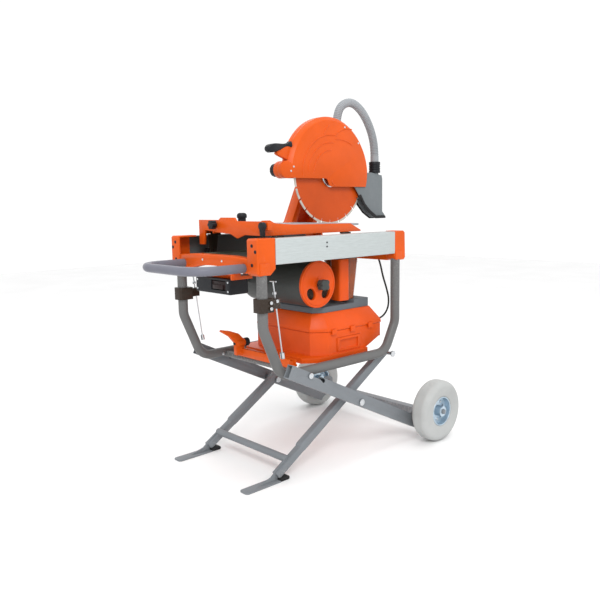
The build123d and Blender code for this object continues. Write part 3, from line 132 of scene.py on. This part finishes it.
def remap(nodes, links, source, low, high, from_low=0.0, from_high=1.0):
    node = nodes.new("ShaderNodeMapRange")
    node.inputs["From Min"].default_value = from_low
    node.inputs["From Max"].default_value = from_high
    node.inputs["To Min"].default_value = low
    node.inputs["To Max"].default_value = high
    links.new(source, node.inputs["Value"])
    return node.outputs["Result"]


def mix_colour(nodes, links, factor, first, second):
    """Blend two colours, each an output socket or a tuple, by a factor socket."""
    node = nodes.new("ShaderNodeMix")
    node.data_type = "RGBA"
    links.new(factor, node.inputs[0])
    for socket, colour in ((node.inputs[6], first), (node.inputs[7], second)):
        if isinstance(colour, tuple):
            socket.default_value = (*colour, 1)
        else:
            links.new(colour, socket)
    return node.outputs[2]


def bump(nodes, links, height, strength, distance):
    node = nodes.new("ShaderNodeBump")
    node.inputs["Strength"].default_value = strength
    node.inputs["Distance"].default_value = distance
    links.new(height, node.inputs["Height"])
    return node.outputs["Normal"]


def shade(colour, factor):
    return tuple(min(1.0, c * factor) for c in colour)


def painted(name, colour, roughness=0.36, grain=900.0, grain_depth=0.00006, wear=0.12,
            dust=0.01, coat=0.04, metal_under=(0.45, 0.44, 0.42), specular=0.18):
    """Powder coat or gloss paint: faint mottling, orange-peel bump, dust and worn edges."""
    material, nodes, links = new_material(name)
    shader = nodes["Principled BSDF"]
    mottled = ramp(nodes, links, noise(nodes, links, 9.0, 5.0),
                   [(0.3, shade(colour, 0.93)), (0.7, shade(colour, 1.06))])
    specks = remap(nodes, links, noise(nodes, links, 70.0, 8.0, 0.7), 0.0, dust, 0.55, 0.8)
    dusty = mix_colour(nodes, links, specks, mottled, (0.62, 0.58, 0.52))
    edges = nodes.new("ShaderNodeNewGeometry").outputs["Pointiness"]
    chips = remap(nodes, links, edges, 0.0, wear, 0.54, 0.62)
    scratch = nodes.new("ShaderNodeMath")
    scratch.operation = "MULTIPLY"
    links.new(chips, scratch.inputs[0])
    links.new(remap(nodes, links, noise(nodes, links, 160.0, 6.0), 0, 1, 0.5, 0.62),
              scratch.inputs[1])
    worn = mix_colour(nodes, links, scratch.outputs[0], dusty, metal_under)
    links.new(worn, shader.inputs["Base Color"])
    links.new(remap(nodes, links, noise(nodes, links, 35.0, 6.0), roughness - 0.07,
                    roughness + 0.12), shader.inputs["Roughness"])
    links.new(bump(nodes, links, noise(nodes, links, grain, 2.0), 0.5, grain_depth),
              shader.inputs["Normal"])
    shader.inputs["Specular IOR Level"].default_value = specular
    shader.inputs["Coat Weight"].default_value = coat
    shader.inputs["Coat Roughness"].default_value = 0.18
    return material


def moulded(name, colour, roughness=0.45, grain=1400.0, grain_depth=0.00008, dust=0.015,
            specular=0.2):
    """Injection-moulded plastic or rubber: fine texture, small colour drift, dust in the grain."""
    material, nodes, links = new_material(name)
    shader = nodes["Principled BSDF"]
    drift = ramp(nodes, links, noise(nodes, links, 6.0, 4.0),
                 [(0.3, shade(colour, 0.9)), (0.7, shade(colour, 1.1))])
    specks = remap(nodes, links, noise(nodes, links, 55.0, 9.0, 0.7), 0.0, dust, 0.5, 0.8)
    links.new(mix_colour(nodes, links, specks, drift, (0.55, 0.52, 0.47)),
              shader.inputs["Base Color"])
    links.new(remap(nodes, links, noise(nodes, links, 28.0, 6.0), roughness - 0.06,
                    roughness + 0.1), shader.inputs["Roughness"])
    links.new(bump(nodes, links, noise(nodes, links, grain, 3.0), 0.6, grain_depth),
              shader.inputs["Normal"])
    shader.inputs["Specular IOR Level"].default_value = specular
    return material


def metal(name, colour, roughness=0.3, stretch=None, scale=400.0, stain=0.25, metallic=1.0):
    """Bare or zinc-plated metal: brushed or spangled, with darker stains."""
    material, nodes, links = new_material(name)
    shader = nodes["Principled BSDF"]
    grain = noise(nodes, links, scale, 5.0, 0.6, stretch)
    base = ramp(nodes, links, grain, [(0.3, shade(colour, 0.82)), (0.7, shade(colour, 1.12))])
    stains = remap(nodes, links, noise(nodes, links, 14.0, 7.0, 0.65), 0.0, stain, 0.55, 0.75)
    links.new(mix_colour(nodes, links, stains, base, shade(colour, 0.45)),
              shader.inputs["Base Color"])
    links.new(remap(nodes, links, grain, roughness - 0.08, roughness + 0.14),
              shader.inputs["Roughness"])
    links.new(bump(nodes, links, grain, 0.25, 0.00008), shader.inputs["Normal"])
    shader.inputs["Metallic"].default_value = metallic
    return material


ORANGE = (0.62, 0.082, 0.003)
MATERIALS = {
    "orange_paint": painted("orange_paint", ORANGE),
    "orange_plastic": moulded("orange_plastic", (0.66, 0.075, 0.004), 0.36, grain=1100.0),
    "cast_orange": painted("cast_orange", shade(ORANGE, 0.85), 0.42, 260.0, 0.0003),
    "tube_grey": painted("tube_grey", (0.130, 0.130, 0.129), 0.38, wear=0.25),
    "arm_grey": painted("arm_grey", (0.185, 0.200, 0.215), 0.36, wear=0.3),
    "handle_grey": painted("handle_grey", (0.150, 0.152, 0.185), 0.34, wear=0.3),
    "rail_silver": metal("rail_silver", (0.46, 0.50, 0.50), 0.42, (1.0, 60.0, 60.0), 30.0,
                         0.06, 0.25),
    "pan_grey": painted("pan_grey", (0.17, 0.19, 0.14), 0.5),
    "zinc_steel": metal("zinc_steel", (0.62, 0.64, 0.66), 0.3),
    "lid_grey": moulded("lid_grey", (0.105, 0.118, 0.130), 0.5),
    "canister_grey": moulded("canister_grey", (0.050, 0.054, 0.052), 0.46),
    "clamp_brown": painted("clamp_brown", (0.030, 0.020, 0.014), 0.45, coat=0.1),
    "black_plastic": moulded("black_plastic", (0.013, 0.014, 0.017), 0.42),
    "cable_black": moulded("cable_black", (0.012, 0.012, 0.012), 0.5, 600.0),
    "cast_grey": painted("cast_grey", (0.20, 0.21, 0.22), 0.5, 240.0, 0.0003, coat=0.0),
    "belt_rubber": moulded("belt_rubber", (0.015, 0.015, 0.015), 0.6),
    "boot_grey": moulded("boot_grey", (0.150, 0.168, 0.178), 0.4, dust=0.05),
    "boot_rubber": moulded("boot_rubber", (0.016, 0.016, 0.017), 0.62),
    "hose_grey": moulded("hose_grey", (0.27, 0.285, 0.30), 0.42, 500.0, 0.0001),
    "blade_orange": painted("blade_orange", (0.55, 0.070, 0.004), 0.36, 500.0, wear=0.0, dust=0.03),
    "segment_steel": metal("segment_steel", (0.60, 0.56, 0.50), 0.5, None, 700.0, 0.5),
    "deck_grey": painted("deck_grey", (0.30, 0.32, 0.35), 0.42, dust=0.25, wear=0.5),
    "roller_black": moulded("roller_black", (0.02, 0.02, 0.02), 0.4),
    "paddle_red": moulded("paddle_red", (0.02, 0.010, 0.010), 0.35),
    "filter_paper": moulded("filter_paper", (0.52, 0.48, 0.36), 0.9, 300.0, 0.0004),
    "tyre_grey": moulded("tyre_grey", (0.42, 0.43, 0.425), 0.66, 420.0, 0.0003, dust=0.15),
    "coil_bronze": metal("coil_bronze", (0.10, 0.065, 0.045), 0.4),
    "rim_zinc": metal("rim_zinc", (0.50, 0.60, 0.68), 0.34, None, 260.0, 0.3),
}


def amber_plastic():
    """Tinted translucent plastic of the cyclone cones."""
    material, nodes, links = new_material("amber_plastic")
    shader = nodes["Principled BSDF"]
    links.new(ramp(nodes, links, noise(nodes, links, 12.0, 5.0),
                   [(0.3, (0.26, 0.055, 0.010)), (0.7, (0.40, 0.085, 0.014))]),
              shader.inputs["Base Color"])
    links.new(remap(nodes, links, noise(nodes, links, 40.0, 5.0), 0.18, 0.32),
              shader.inputs["Roughness"])
    shader.inputs["Transmission Weight"].default_value = 0.35
    shader.inputs["Subsurface Weight"].default_value = 0.2
    shader.inputs["Subsurface Radius"].default_value = (0.02, 0.008, 0.002)
    return material


MATERIALS["amber_plastic"] = amber_plastic()


def paint_shade_on_faces(name, test):
    """Paints shade over the faces that the mask built by test picks out: they are darkened towards
    near black in place of the shadow they lie in.
    """
    material = MATERIALS[name]
    nodes, links = material.node_tree.nodes, material.node_tree.links
    target = nodes["Principled BSDF"].inputs["Base Color"]
    colour = target.links[0].from_socket
    links.new(mix_colour(nodes, links, test(nodes, links), colour, PAINTED_SHADE_COLOUR), target)


def facing_down(nodes, links):
    """One where the surface faces the ground, nought elsewhere."""
    split = nodes.new("ShaderNodeSeparateXYZ")
    links.new(nodes.new("ShaderNodeNewGeometry").outputs["True Normal"], split.inputs[0])
    return remap(nodes, links, split.outputs["Z"], 1.0, 0.0, -0.6, -0.3)


def facing_inward(nodes, links):
    """One where the surface faces the machine's middle plane, nought elsewhere."""
    products = []
    for source in (nodes.new("ShaderNodeNewGeometry").outputs["True Normal"],
                   nodes.new("ShaderNodeTexCoord").outputs["Object"]):
        split = nodes.new("ShaderNodeSeparateXYZ")
        links.new(source, split.inputs[0])
        products.append(split.outputs["Y"])
    product = nodes.new("ShaderNodeMath")
    product.operation = "MULTIPLY"
    links.new(products[0], product.inputs[0])
    links.new(products[1], product.inputs[1])
    return remap(nodes, links, product.outputs[0], 0.85, 0.0, -0.16, -0.10)


# Painted shade: the table deck's downward faces are darkened in place of the shadow under the
# table.
paint_shade_on_faces("deck_grey", facing_down)
# Painted shade: the rails' faces that look towards the middle are darkened in place of the shadow
# under the table.
paint_shade_on_faces("rail_silver", facing_inward)
SLOT_OF = {row["node"]: row["material_slot"] for row in frame["record"]["subparts"]}
LOOK_OF = dict(SLOT_OF, push_handle="handle_grey", leg_frame="arm_grey",
               roller_hangers="clamp_brown")


def paint_node(node):
    data = NODES[node].data
    data.materials.clear()
    data.materials.append(MATERIALS[LOOK_OF[node]])


for node_name in NODES:
    paint_node(node_name)


# ---- piece helpers ------------------------------------------------------------------------
def add_object(name, mesh, body, look):
    piece = bpy.data.objects.new(name, mesh)
    bpy.context.scene.collection.objects.link(piece)
    mesh.materials.clear()
    mesh.materials.append(MATERIALS[look])
    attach(piece, body)
    return piece


def finish_mesh(mesh, angle=35.0):
    """Smooth shading with hard edges above the angle."""
    mesh.shade_smooth()
    mesh.set_sharp_from_angle(angle=math.radians(angle))


def apply_modifiers(piece):
    """Bake the piece's modifiers into its own mesh."""
    depsgraph = bpy.context.evaluated_depsgraph_get()
    baked = bpy.data.meshes.new_from_object(piece.evaluated_get(depsgraph))
    piece.modifiers.clear()
    piece.data = baked
    return baked


def soften(node, width):
    """A skin that stands for a CAD node, with the same faces and rounded edges."""
    mesh = NODES[node].data.copy()
    work = bmesh.new()
    work.from_mesh(mesh)
    bmesh.ops.remove_doubles(work, verts=work.verts, dist=2e-6)
    bmesh.ops.dissolve_limit(work, angle_limit=math.radians(1.0), verts=work.verts,
                             edges=work.edges, delimit={"NORMAL"})
    work.to_mesh(mesh)
    work.free()
    piece = add_object(node + "_skin", mesh, NODES[node]["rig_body"], LOOK_OF[node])
    bevel = piece.modifiers.new("edge", "BEVEL")
    bevel.width = width
    bevel.segments = 2
    bevel.limit_method = "ANGLE"
    bevel.angle_limit = math.radians(32)
    bevel.use_clamp_overlap = True
    finish_mesh(apply_modifiers(piece), 40.0)
    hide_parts(node)
    return piece


def lathe(name, profile, centre, body, look, steps=96):
    """A turned piece about an axis along Y; profile is (y, radius) round the section."""
    work = bmesh.new()
    rings = []
    for step in range(steps):
        angle = 2 * math.pi * step / steps
        rings.append([work.verts.new((centre[0] + r * math.cos(angle), centre[1] + y,
                                      centre[2] + r * math.sin(angle))) for y, r in profile])
    count = len(profile)
    for step in range(steps):
        here, there = rings[step], rings[(step + 1) % steps]
        for i in range(count):
            j = (i + 1) % count
            work.faces.new((here[i], here[j], there[j], there[i]))
    bmesh.ops.recalc_face_normals(work, faces=work.faces)
    mesh = bpy.data.meshes.new(name)
    work.to_mesh(mesh)
    work.free()
    finish_mesh(mesh)
    return add_object(name, mesh, body, look)


def bolt_heads(name, places, axis, body, radius=0.005, height=0.0035, look="zinc_steel", sides=24,
               socket=True):
    """Domed screw heads at the places, each facing along the axis."""
    work = bmesh.new()
    turn = Vector((0, 0, 1)).rotation_difference(Vector(axis)).to_matrix()
    profile = [(1.0, 0.0), (1.0, 0.45), (0.88, 0.78), (0.62, 0.95), (0.42, 1.0)]
    if socket:
        profile += [(0.40, 0.55), (0.0, 0.55)]
    else:
        profile += [(0.0, 1.02)]
    for place in places:
        rings = []
        for r, h in profile:
            count = sides if r > 0 else 1
            rings.append([work.verts.new(Vector(place) + turn @ Vector((
                r * radius * math.cos(2 * math.pi * k / sides),
                r * radius * math.sin(2 * math.pi * k / sides), h * height)))
                for k in range(count)])
        for low, high in zip(rings, rings[1:]):
            for k in range(sides):
                nxt = (k + 1) % sides
                if len(high) == 1:
                    work.faces.new((low[k], low[nxt], high[0]))
                else:
                    work.faces.new((low[k], low[nxt], high[nxt], high[k]))
        work.faces.new(list(reversed(rings[0])))
    mesh = bpy.data.meshes.new(name)
    work.to_mesh(mesh)
    work.free()
    finish_mesh(mesh, 30.0)
    return add_object(name, mesh, body, look)


# ---- cords --------------------------------------------------------------------------------
HOSE_ROUTE = [(566, 60, 1198.2), (566, 60, 1250), (559, 65, 1310), (538, 73, 1370),
              (502, 84, 1428), (450, 96, 1462), (398, 107, 1446), (374, 112, 1402),
              (369.2, 112, 1356.2)]
REAR_CABLE_ROUTE = [(358.4, -100, 786), (400, -100, 786), (424, -98, 740), (440, -97, 690),
                    (462, -98, 640), (478, -100, 590), (474, -100, 545), (444, -100, 512),
                    (392, -100, 500), (296.4, -100, 500)]
SWITCH_CABLE_ROUTE = [(-330, 132.2, 716), (-330, 162, 716), (-302, 192, 694), (-258, 206, 672),
                      (-212, 190, 680), (-180, 150, 712), (-148.2, 150, 712)]


def spline_curve(name, route, radius):
    """One smooth NURBS line through a route given in millimetres."""
    curve = bpy.data.curves.new(name, "CURVE")
    curve.dimensions = "3D"
    curve.resolution_u = 16
    spline = curve.splines.new("NURBS")
    spline.points.add(len(route) - 1)
    for point, place in zip(spline.points, route):
        point.co = (*(c * MM for c in place), 1)
    spline.order_u = 3
    spline.use_endpoint_u = True
    curve.bevel_depth = radius
    curve.bevel_resolution = 6
    curve.use_fill_caps = True
    return curve


def line_points(route):
    """The points of the route's own smooth line, and its length."""
    curve = spline_curve("line", route, 0)
    holder = bpy.data.objects.new("line", curve)
    bpy.context.scene.collection.objects.link(holder)
    bpy.context.view_layer.update()
    mesh = bpy.data.meshes.new_from_object(holder)
    points = [v.co.copy() for v in mesh.vertices]
    bpy.data.objects.remove(holder)
    bpy.data.meshes.remove(mesh)
    bpy.data.curves.remove(curve)
    return points, sum((b - a).length for a, b in zip(points, points[1:]))


def resample(points, step):
    """Evenly spaced points along a line."""
    result, carry = [points[0].copy()], step
    for a, b in zip(points, points[1:]):
        run = (b - a).length
        while run > 1e-9 and carry <= run:
            result.append(a.lerp(b, carry / run))
            carry += step
        carry -= run
    return result


def ribbed_tube(name, points, radius_at, sides=40):
    """A tube swept along points, its radius given by radius_at(distance along, length)."""
    length = sum((b - a).length for a, b in zip(points, points[1:]))
    work = bmesh.new()
    rings, travelled = [], 0.0
    tangent = (points[1] - points[0]).normalized()
    across = tangent.orthogonal().normalized()
    for i, point in enumerate(points):
        ahead = points[min(i + 1, len(points) - 1)] - points[max(i - 1, 0)]
        new_tangent = ahead.normalized()
        across = (tangent.rotation_difference(new_tangent) @ across).normalized()
        tangent = new_tangent
        side = tangent.cross(across)
        if i:
            travelled += (point - points[i - 1]).length
        radius = radius_at(travelled, length)
        rings.append([work.verts.new(point + (across * math.cos(t) + side * math.sin(t)) * radius)
                      for t in (2 * math.pi * k / sides for k in range(sides))])
    for low, high in zip(rings, rings[1:]):
        for k in range(sides):
            n = (k + 1) % sides
            work.faces.new((low[k], low[n], high[n], high[k]))
    work.faces.new(list(reversed(rings[0])))
    work.faces.new(rings[-1])
    bmesh.ops.recalc_face_normals(work, faces=work.faces)
    mesh = bpy.data.meshes.new(name)
    work.to_mesh(mesh)
    work.free()
    finish_mesh(mesh, 60.0)
    return mesh


HOSE_PITCH, HOSE_CUFF, HOSE_CUFF_RADIUS = 0.0072, 0.024, 0.0189
HOSE_VALLEY_RADIUS, HOSE_RIB_DEPTH = 0.0168, 0.0021


def make_hose():
    points, length = line_points(HOSE_ROUTE)

    def radius_at(distance, whole):
        cuff = min(distance, whole - distance)
        if cuff < HOSE_CUFF:
            return HOSE_CUFF_RADIUS
        phase = (distance / HOSE_PITCH) % 1.0
        return HOSE_VALLEY_RADIUS + HOSE_RIB_DEPTH * math.sin(math.pi * phase) ** 0.6

    even = resample(points, HOSE_PITCH / 9)
    if (even[-1] - points[-1]).length > 1e-6:
        even.append(points[-1].copy())
    piece = add_object("suction_hose_skin", ribbed_tube("suction_hose_skin", even, radius_at),
                       "head", "hose_grey")
    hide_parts("suction_hose")


def make_cable(node, route):
    length = line_points(route)[1]
    piece = bpy.data.objects.new(node + "_skin", spline_curve(node, route, 0.004))
    bpy.context.scene.collection.objects.link(piece)
    piece.data.materials.append(MATERIALS["cable_black"])
    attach(piece, "saw_frame")
    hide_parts(node)


make_hose()
make_cable("rear_cable", REAR_CABLE_ROUTE)
make_cable("switch_cable", SWITCH_CABLE_ROUTE)


# ---- rounded skins over the frame's plates, tubes and castings ------------------------------
SKIN_EDGES = {
    "side_rails": 0.0016, "rail_caps": 0.0025, "cross_members": 0.0022, "push_handle": 0.0006,
    "dust_pan": 0.0015, "column": 0.0022, "tub_lower": 0.003, "tub_hood": 0.003,
    "tub_lid": 0.003, "canister": 0.0015, "canister_cap": 0.0022, "tube_clamps": 0.0018,
    "mitre_guide": 0.0022, "switch_box": 0.003, "head_arm": 0.003, "arbor_bearings": 0.0012,
    "motor_and_belt_cover": 0.0022, "guard_near": 0.0022, "guard_far": 0.0022,
    "handle_grip": 0.002, "dust_boot": 0.003, "boot_lip": 0.0015, "hose_coupling": 0.0012,
    "table_deck": 0.0012, "table_apron": 0.002, "roller_hangers": 0.0012, "fence_knob": 0.002,
    "table_lock_lever": 0.0022, "clamp_knob": 0.002, "mitre_knob": 0.002,
    "depth_lock_knob": 0.002, "dust_drawer": 0.002, "crank_knob": 0.002, "leg_frame": 0.0012,
    "foot_pads": 0.002, "wheel_frame": 0.0025, "scissor_bolts": 0.001, "switch_paddle": 0.001,
    "arbor_assembly": 0.001, "latch_rods": 0.0006, "cradle_pins": 0.001,
}
for node_name, edge_width in SKIN_EDGES.items():
    soften(node_name, edge_width)


# ---- shared shapes for the fittings ---------------------------------------------------------
def strip_mesh(name, lines, width, height, normal, steps_across=6):
    """Low rounded ridges along lines of points that lie on a flat face."""
    up = Vector(normal)
    work = bmesh.new()
    for line in lines:
        rings = []
        for i, point in enumerate(line):
            ahead = line[min(i + 1, len(line) - 1)] - line[max(i - 1, 0)]
            side = ahead.normalized().cross(up).normalized()
            taper = min(1.0, 0.25 + min(i, len(line) - 1 - i) / 3)
            rings.append([work.verts.new(point + side * (width / 2) * math.cos(t)
                                         + up * height * taper * math.sin(t))
                          for t in (math.pi * k / steps_across for k in range(steps_across + 1))])
        for low, high in zip(rings, rings[1:]):
            for k in range(steps_across):
                work.faces.new((low[k], low[k + 1], high[k + 1], high[k]))
            work.faces.new((low[-1], low[0], high[0], high[-1]))
        work.faces.new(list(reversed(rings[0])))
        work.faces.new(rings[-1])
    bmesh.ops.recalc_face_normals(work, faces=work.faces)
    mesh = bpy.data.meshes.new(name)
    work.to_mesh(mesh)
    work.free()
    finish_mesh(mesh, 70.0)
    return mesh


def ring_mesh(name, rings, minor, sides=12, steps=96):
    """Wire rings about axes along Y; each is (x, y, z, radius) in millimetres."""
    work = bmesh.new()
    for x, y, z, radius in rings:
        loops = []
        for step in range(steps):
            t = 2 * math.pi * step / steps
            loops.append([work.verts.new((
                (x + (radius + minor * math.cos(p)) * math.cos(t)) * MM,
                (y + minor * math.sin(p)) * MM,
                (z + (radius + minor * math.cos(p)) * math.sin(t)) * MM))
                for p in (2 * math.pi * k / sides for k in range(sides))])
        for step in range(steps):
            here, there = loops[step], loops[(step + 1) % steps]
            for k in range(sides):
                n = (k + 1) % sides
                work.faces.new((here[k], here[n], there[n], there[k]))
    bmesh.ops.recalc_face_normals(work, faces=work.faces)
    mesh = bpy.data.meshes.new(name)
    work.to_mesh(mesh)
    work.free()
    finish_mesh(mesh, 60.0)
    return mesh


def pads_mesh(name, pads, bevel=0.8):
    """Small rounded blocks; each is (x0, x1, y0, y1, z0, z1) in millimetres."""
    work = bmesh.new()
    for x0, x1, y0, y1, z0, z1 in pads:
        corners = [work.verts.new((x * MM, y * MM, z * MM))
                   for x in (x0, x1) for y in (y0, y1) for z in (z0, z1)]
        for quad in ((0, 1, 3, 2), (4, 6, 7, 5), (0, 4, 5, 1), (2, 3, 7, 6), (0, 2, 6, 4),
                     (1, 5, 7, 3)):
            work.faces.new([corners[i] for i in quad])
    bmesh.ops.bevel(work, geom=work.edges[:], offset=bevel * MM, segments=2, affect="EDGES",
                    profile=0.6)
    bmesh.ops.recalc_face_normals(work, faces=work.faces)
    mesh = bpy.data.meshes.new(name)
    work.to_mesh(mesh)
    work.free()
    finish_mesh(mesh, 50.0)
    return mesh


def points_mm(places):
    return [tuple(c * MM for c in place) for place in places]


# ---- guard: pressed ribs on its near face, rivets round its rim -----------------------------
GUARD_X, GUARD_Z, GUARD_FACE = 259.0, 1131.0, 36.0
RIB_WIDTH, RIB_HEIGHT = 0.0055, 0.0028
RIVET_CIRCLE = 222


def guard_arc(radius, start, end, steps=40):
    return [Vector(((GUARD_X + radius * math.cos(t)) * MM, GUARD_FACE * MM,
                    (GUARD_Z + radius * math.sin(t)) * MM))
            for t in (math.radians(start + (end - start) * k / steps) for k in range(steps + 1))]


def curved_rib(points, steps=20):
    """A quadratic curve through three (x, z) control points on the guard's near face."""
    (x0, z0), (x1, z1), (x2, z2) = points
    line = []
    for k in range(steps + 1):
        t = k / steps
        a, b, c = (1 - t) ** 2, 2 * t * (1 - t), t * t
        line.append(Vector(((a * x0 + b * x1 + c * x2) * MM, GUARD_FACE * MM,
                            (a * z0 + b * z1 + c * z2) * MM)))
    return line


guard_lines = [guard_arc(170, 183, 78), guard_arc(138, 178, 84), guard_arc(106, 176, 90),
               curved_rib([(215, 1301), (222, 1322), (245, 1342)]),
               curved_rib([(281, 1297), (322, 1340), (388, 1330)]),
               curved_rib([(281, 1283), (340, 1290), (392, 1262)]),
               curved_rib([(262, 1112), (258, 1092), (280, 1090)])]
add_object("guard_ribs", strip_mesh("guard_ribs", guard_lines, RIB_WIDTH, RIB_HEIGHT,
                                    (0, -1, 0)), "head", "orange_paint")
rim_rivets = [((GUARD_X + RIVET_CIRCLE * math.cos(t)) * MM, GUARD_FACE * MM,
               (GUARD_Z + RIVET_CIRCLE * math.sin(t)) * MM)
              for t in (math.radians(a) for a in (40, 68, 172))]
bolt_heads("guard_rivets", rim_rivets + points_mm([(24, 36, 1144)]), (0, -1, 0), "head",
           0.0042, 0.0022, socket=False)

# ---- caps, rails, clamps and switch box: screws ----------------------------------------------
bolt_heads("cap_screws", points_mm([(-408, -256, 852), (-408, -237, 806), (-408, -238, 872),
                                    (-408, 256, 852), (-408, 237, 806), (-408, 238, 872)]),
           (-1, 0, 0), "saw_frame", 0.0062, 0.0018, look="black_plastic")
bolt_heads("rail_screws", points_mm([(-78, -268, 869), (-78, -268, 854)]), (0, -1, 0),
           "saw_frame", 0.0036, 0.0012, look="black_plastic")
bolt_heads("rail_screws_far", points_mm([(-78, 268, 869), (-78, 268, 854)]), (0, 1, 0),
           "saw_frame", 0.0036, 0.0012, look="black_plastic")
clamp_places = [(-362, -280, 656), (-362, -280, 676), (-318, -260.2, 676)]
bolt_heads("clamp_screws_near", points_mm(clamp_places), (0, -1, 0), "saw_frame", 0.0062, 0.003)
bolt_heads("clamp_screws_far", points_mm([(x, -y, z) for x, y, z in clamp_places]), (0, 1, 0),
           "saw_frame", 0.0062, 0.003)
bolt_heads("switch_screws", points_mm([(-392, -74, 700), (-392, -74, 734), (-392, 118, 700),
                                       (-392, 118, 734)]), (-1, 0, 0), "saw_frame", 0.004, 0.0016)
bolt_heads("beam_screws", points_mm([(-405, -60, 812), (-405, 60, 812)]), (-1, 0, 0),
           "saw_frame", 0.0045, 0.002)

# ---- dust canister: coil and dark backing in the two air openings, rings on the cap -----------
CAN_X, CAN_Z = -50.0, 705.0
COIL_CIRCLE, COIL_Y = 52, -179.4
coil = [(CAN_X + COIL_CIRCLE * math.cos(math.radians(turn)), COIL_Y,
         CAN_Z + COIL_CIRCLE * math.sin(math.radians(turn)), radius)
        for turn in (222, 318) for radius in (5, 10.5, 16, 21.5)]
add_object("fan_guard_coil", ring_mesh("fan_guard_coil", coil, 1.3, 8, 48), "saw_frame",
           "coil_bronze")
lathe("fan_backing", [(0, 0.024), (0, 0.084), (0.0012, 0.084), (0.0012, 0.024)],
      (CAN_X * MM, -0.178, CAN_Z * MM), "saw_frame", "black_plastic")
add_object("cap_rings", ring_mesh("cap_rings", [(CAN_X, -192.2, CAN_Z, 82),
                                                (CAN_X, -192.2, CAN_Z, 26)], 1.6, 10, 128),
           "saw_frame", "orange_plastic")

# ---- caps: plates over the slit where a bent tube is flush with the cap (not in the photo) ----
PLATE_SIDES = ((-269.8, -267.6), (267.6, 269.8))
plates = [(-399, -355, *side, 771, 812) for side in PLATE_SIDES]
plates += [(317, 359, *side, 780, 812) for side in PLATE_SIDES]
add_object("cap_plates", pads_mesh("cap_plates", plates, 0.9), "saw_frame", "orange_paint")

# ---- tub: latches on the seam -----------------------------------------------------------------
LATCH_STARTS, LATCH_LENGTH = (2, 108, 214), 26
latches = [(x, x + LATCH_LENGTH, -213.5, -207, 502, 524) for x in LATCH_STARTS]
latches += [(x, x + LATCH_LENGTH, 207, 213.5, 502, 524) for x in LATCH_STARTS]
add_object("tub_latches", pads_mesh("tub_latches", latches, 1.4), "saw_frame", "orange_plastic")

# ---- wheels: grooved tyres, rim bolts and rounded rims ----------------------------------------
AXLE = (0.471, 0.130)
HUB_Y, HUB_FACE, RIM_BOLT_CIRCLE = 0.367, 0.006, 0.040


def tyre_profile():
    """Section of the tyre, (y, radius) in metres: rounded shoulders and fine rings on the tread."""
    inner, outer, half, corner = 0.0626, 0.130, 0.040, 0.026
    points = [(-0.030, inner), (-0.0335, 0.0655)]
    for k in range(0, 13):
        t = math.radians(180 - 90 * k / 12)
        points.append((-half + corner + corner * math.cos(t) * 0.98,
                       outer - corner + corner * math.sin(t) - 0.0004))
    for k in range(1, 28):
        y = -half + corner + (2 * (half - corner)) * k / 28
        points.append((y, outer - 0.0004 - (0.0009 if k % 4 == 2 else 0.0)))
    for k in range(12, -1, -1):
        t = math.radians(180 - 90 * k / 12)
        points.append((half - corner - corner * math.cos(t) * 0.98,
                       outer - corner + corner * math.sin(t) - 0.0004))
    points += [(0.0335, 0.0655), (0.030, inner)]
    grooved = []
    for index, (y, r) in enumerate(points):
        on_side = 0.085 < r < 0.120
        grooved.append((y, r - (0.0008 if on_side and index % 3 == 0 else 0.0)))
    return grooved


for label, sign in (("near", -1), ("far", 1)):
    hub_y = sign * HUB_Y
    tyre = lathe(f"tyre_{label}_skin", tyre_profile(), (AXLE[0], hub_y, AXLE[1]),
                 f"wheel_{label}", "tyre_grey", 144)
    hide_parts(f"tyre_{label}")
    outer_face = hub_y + sign * HUB_FACE
    spots = [(AXLE[0] + RIM_BOLT_CIRCLE * math.cos(t), outer_face,
              AXLE[1] + RIM_BOLT_CIRCLE * math.sin(t))
             for t in (math.radians(72 * k + 54) for k in range(5))]
    bolt_heads(f"rim_bolts_{label}", spots, (0, sign, 0), f"wheel_{label}", 0.0055, 0.004,
               socket=False)
    soften(f"rim_{label}", 0.0018)


# ---- studio -------------------------------------------------------------------------------
def area_light(name, place, target, size, power, colour=(1, 1, 1)):
    data = bpy.data.lights.new(name, "AREA")
    data.shape = "RECTANGLE"
    data.size, data.size_y = size
    data.energy = power
    data.color = colour
    light = bpy.data.objects.new(name, data)
    bpy.context.scene.collection.objects.link(light)
    light.location = place
    light.rotation_euler = (Vector(target) - Vector(place)).to_track_quat("-Z", "Y").to_euler()


def studio():
    mesh = bpy.data.meshes.new("floor")
    mesh.from_pydata([(-9, -9, 0), (9, -9, 0), (9, 9, 0), (-9, 9, 0)], [], [(0, 1, 2, 3)])
    floor = bpy.data.objects.new("floor", mesh)
    bpy.context.scene.collection.objects.link(floor)
    material, nodes, links = new_material("floor_white")
    shader = nodes["Principled BSDF"]
    links.new(ramp(nodes, links, noise(nodes, links, 2.0, 3.0),
                   [(0.3, (0.88, 0.88, 0.88)), (0.7, (0.92, 0.92, 0.92))]),
              shader.inputs["Base Color"])
    shader.inputs["Roughness"].default_value = 0.6
    mesh.materials.append(material)
    world = bpy.data.worlds.new("studio")
    bpy.context.scene.world = world
    world.use_nodes = True
    backdrop = world.node_tree.nodes["Background"]
    backdrop.inputs["Color"].default_value = (1, 1, 1, 1)
    backdrop.inputs["Strength"].default_value = 1.06
    middle = (0, 0, 0.8)
    area_light("key", (-2.6, -3.4, 3.8), middle, (1.8, 1.8), 120)
    area_light("fill", (3.2, -2.6, 2.2), middle, (2.5, 2.5), 8)
    area_light("rim", (1.6, 3.2, 3.0), middle, (2.0, 2.0), 10)
    area_light("top", (0.2, 0.0, 4.2), middle, (2.0, 2.0), 25)


studio()
bpy.context.view_layer.update()
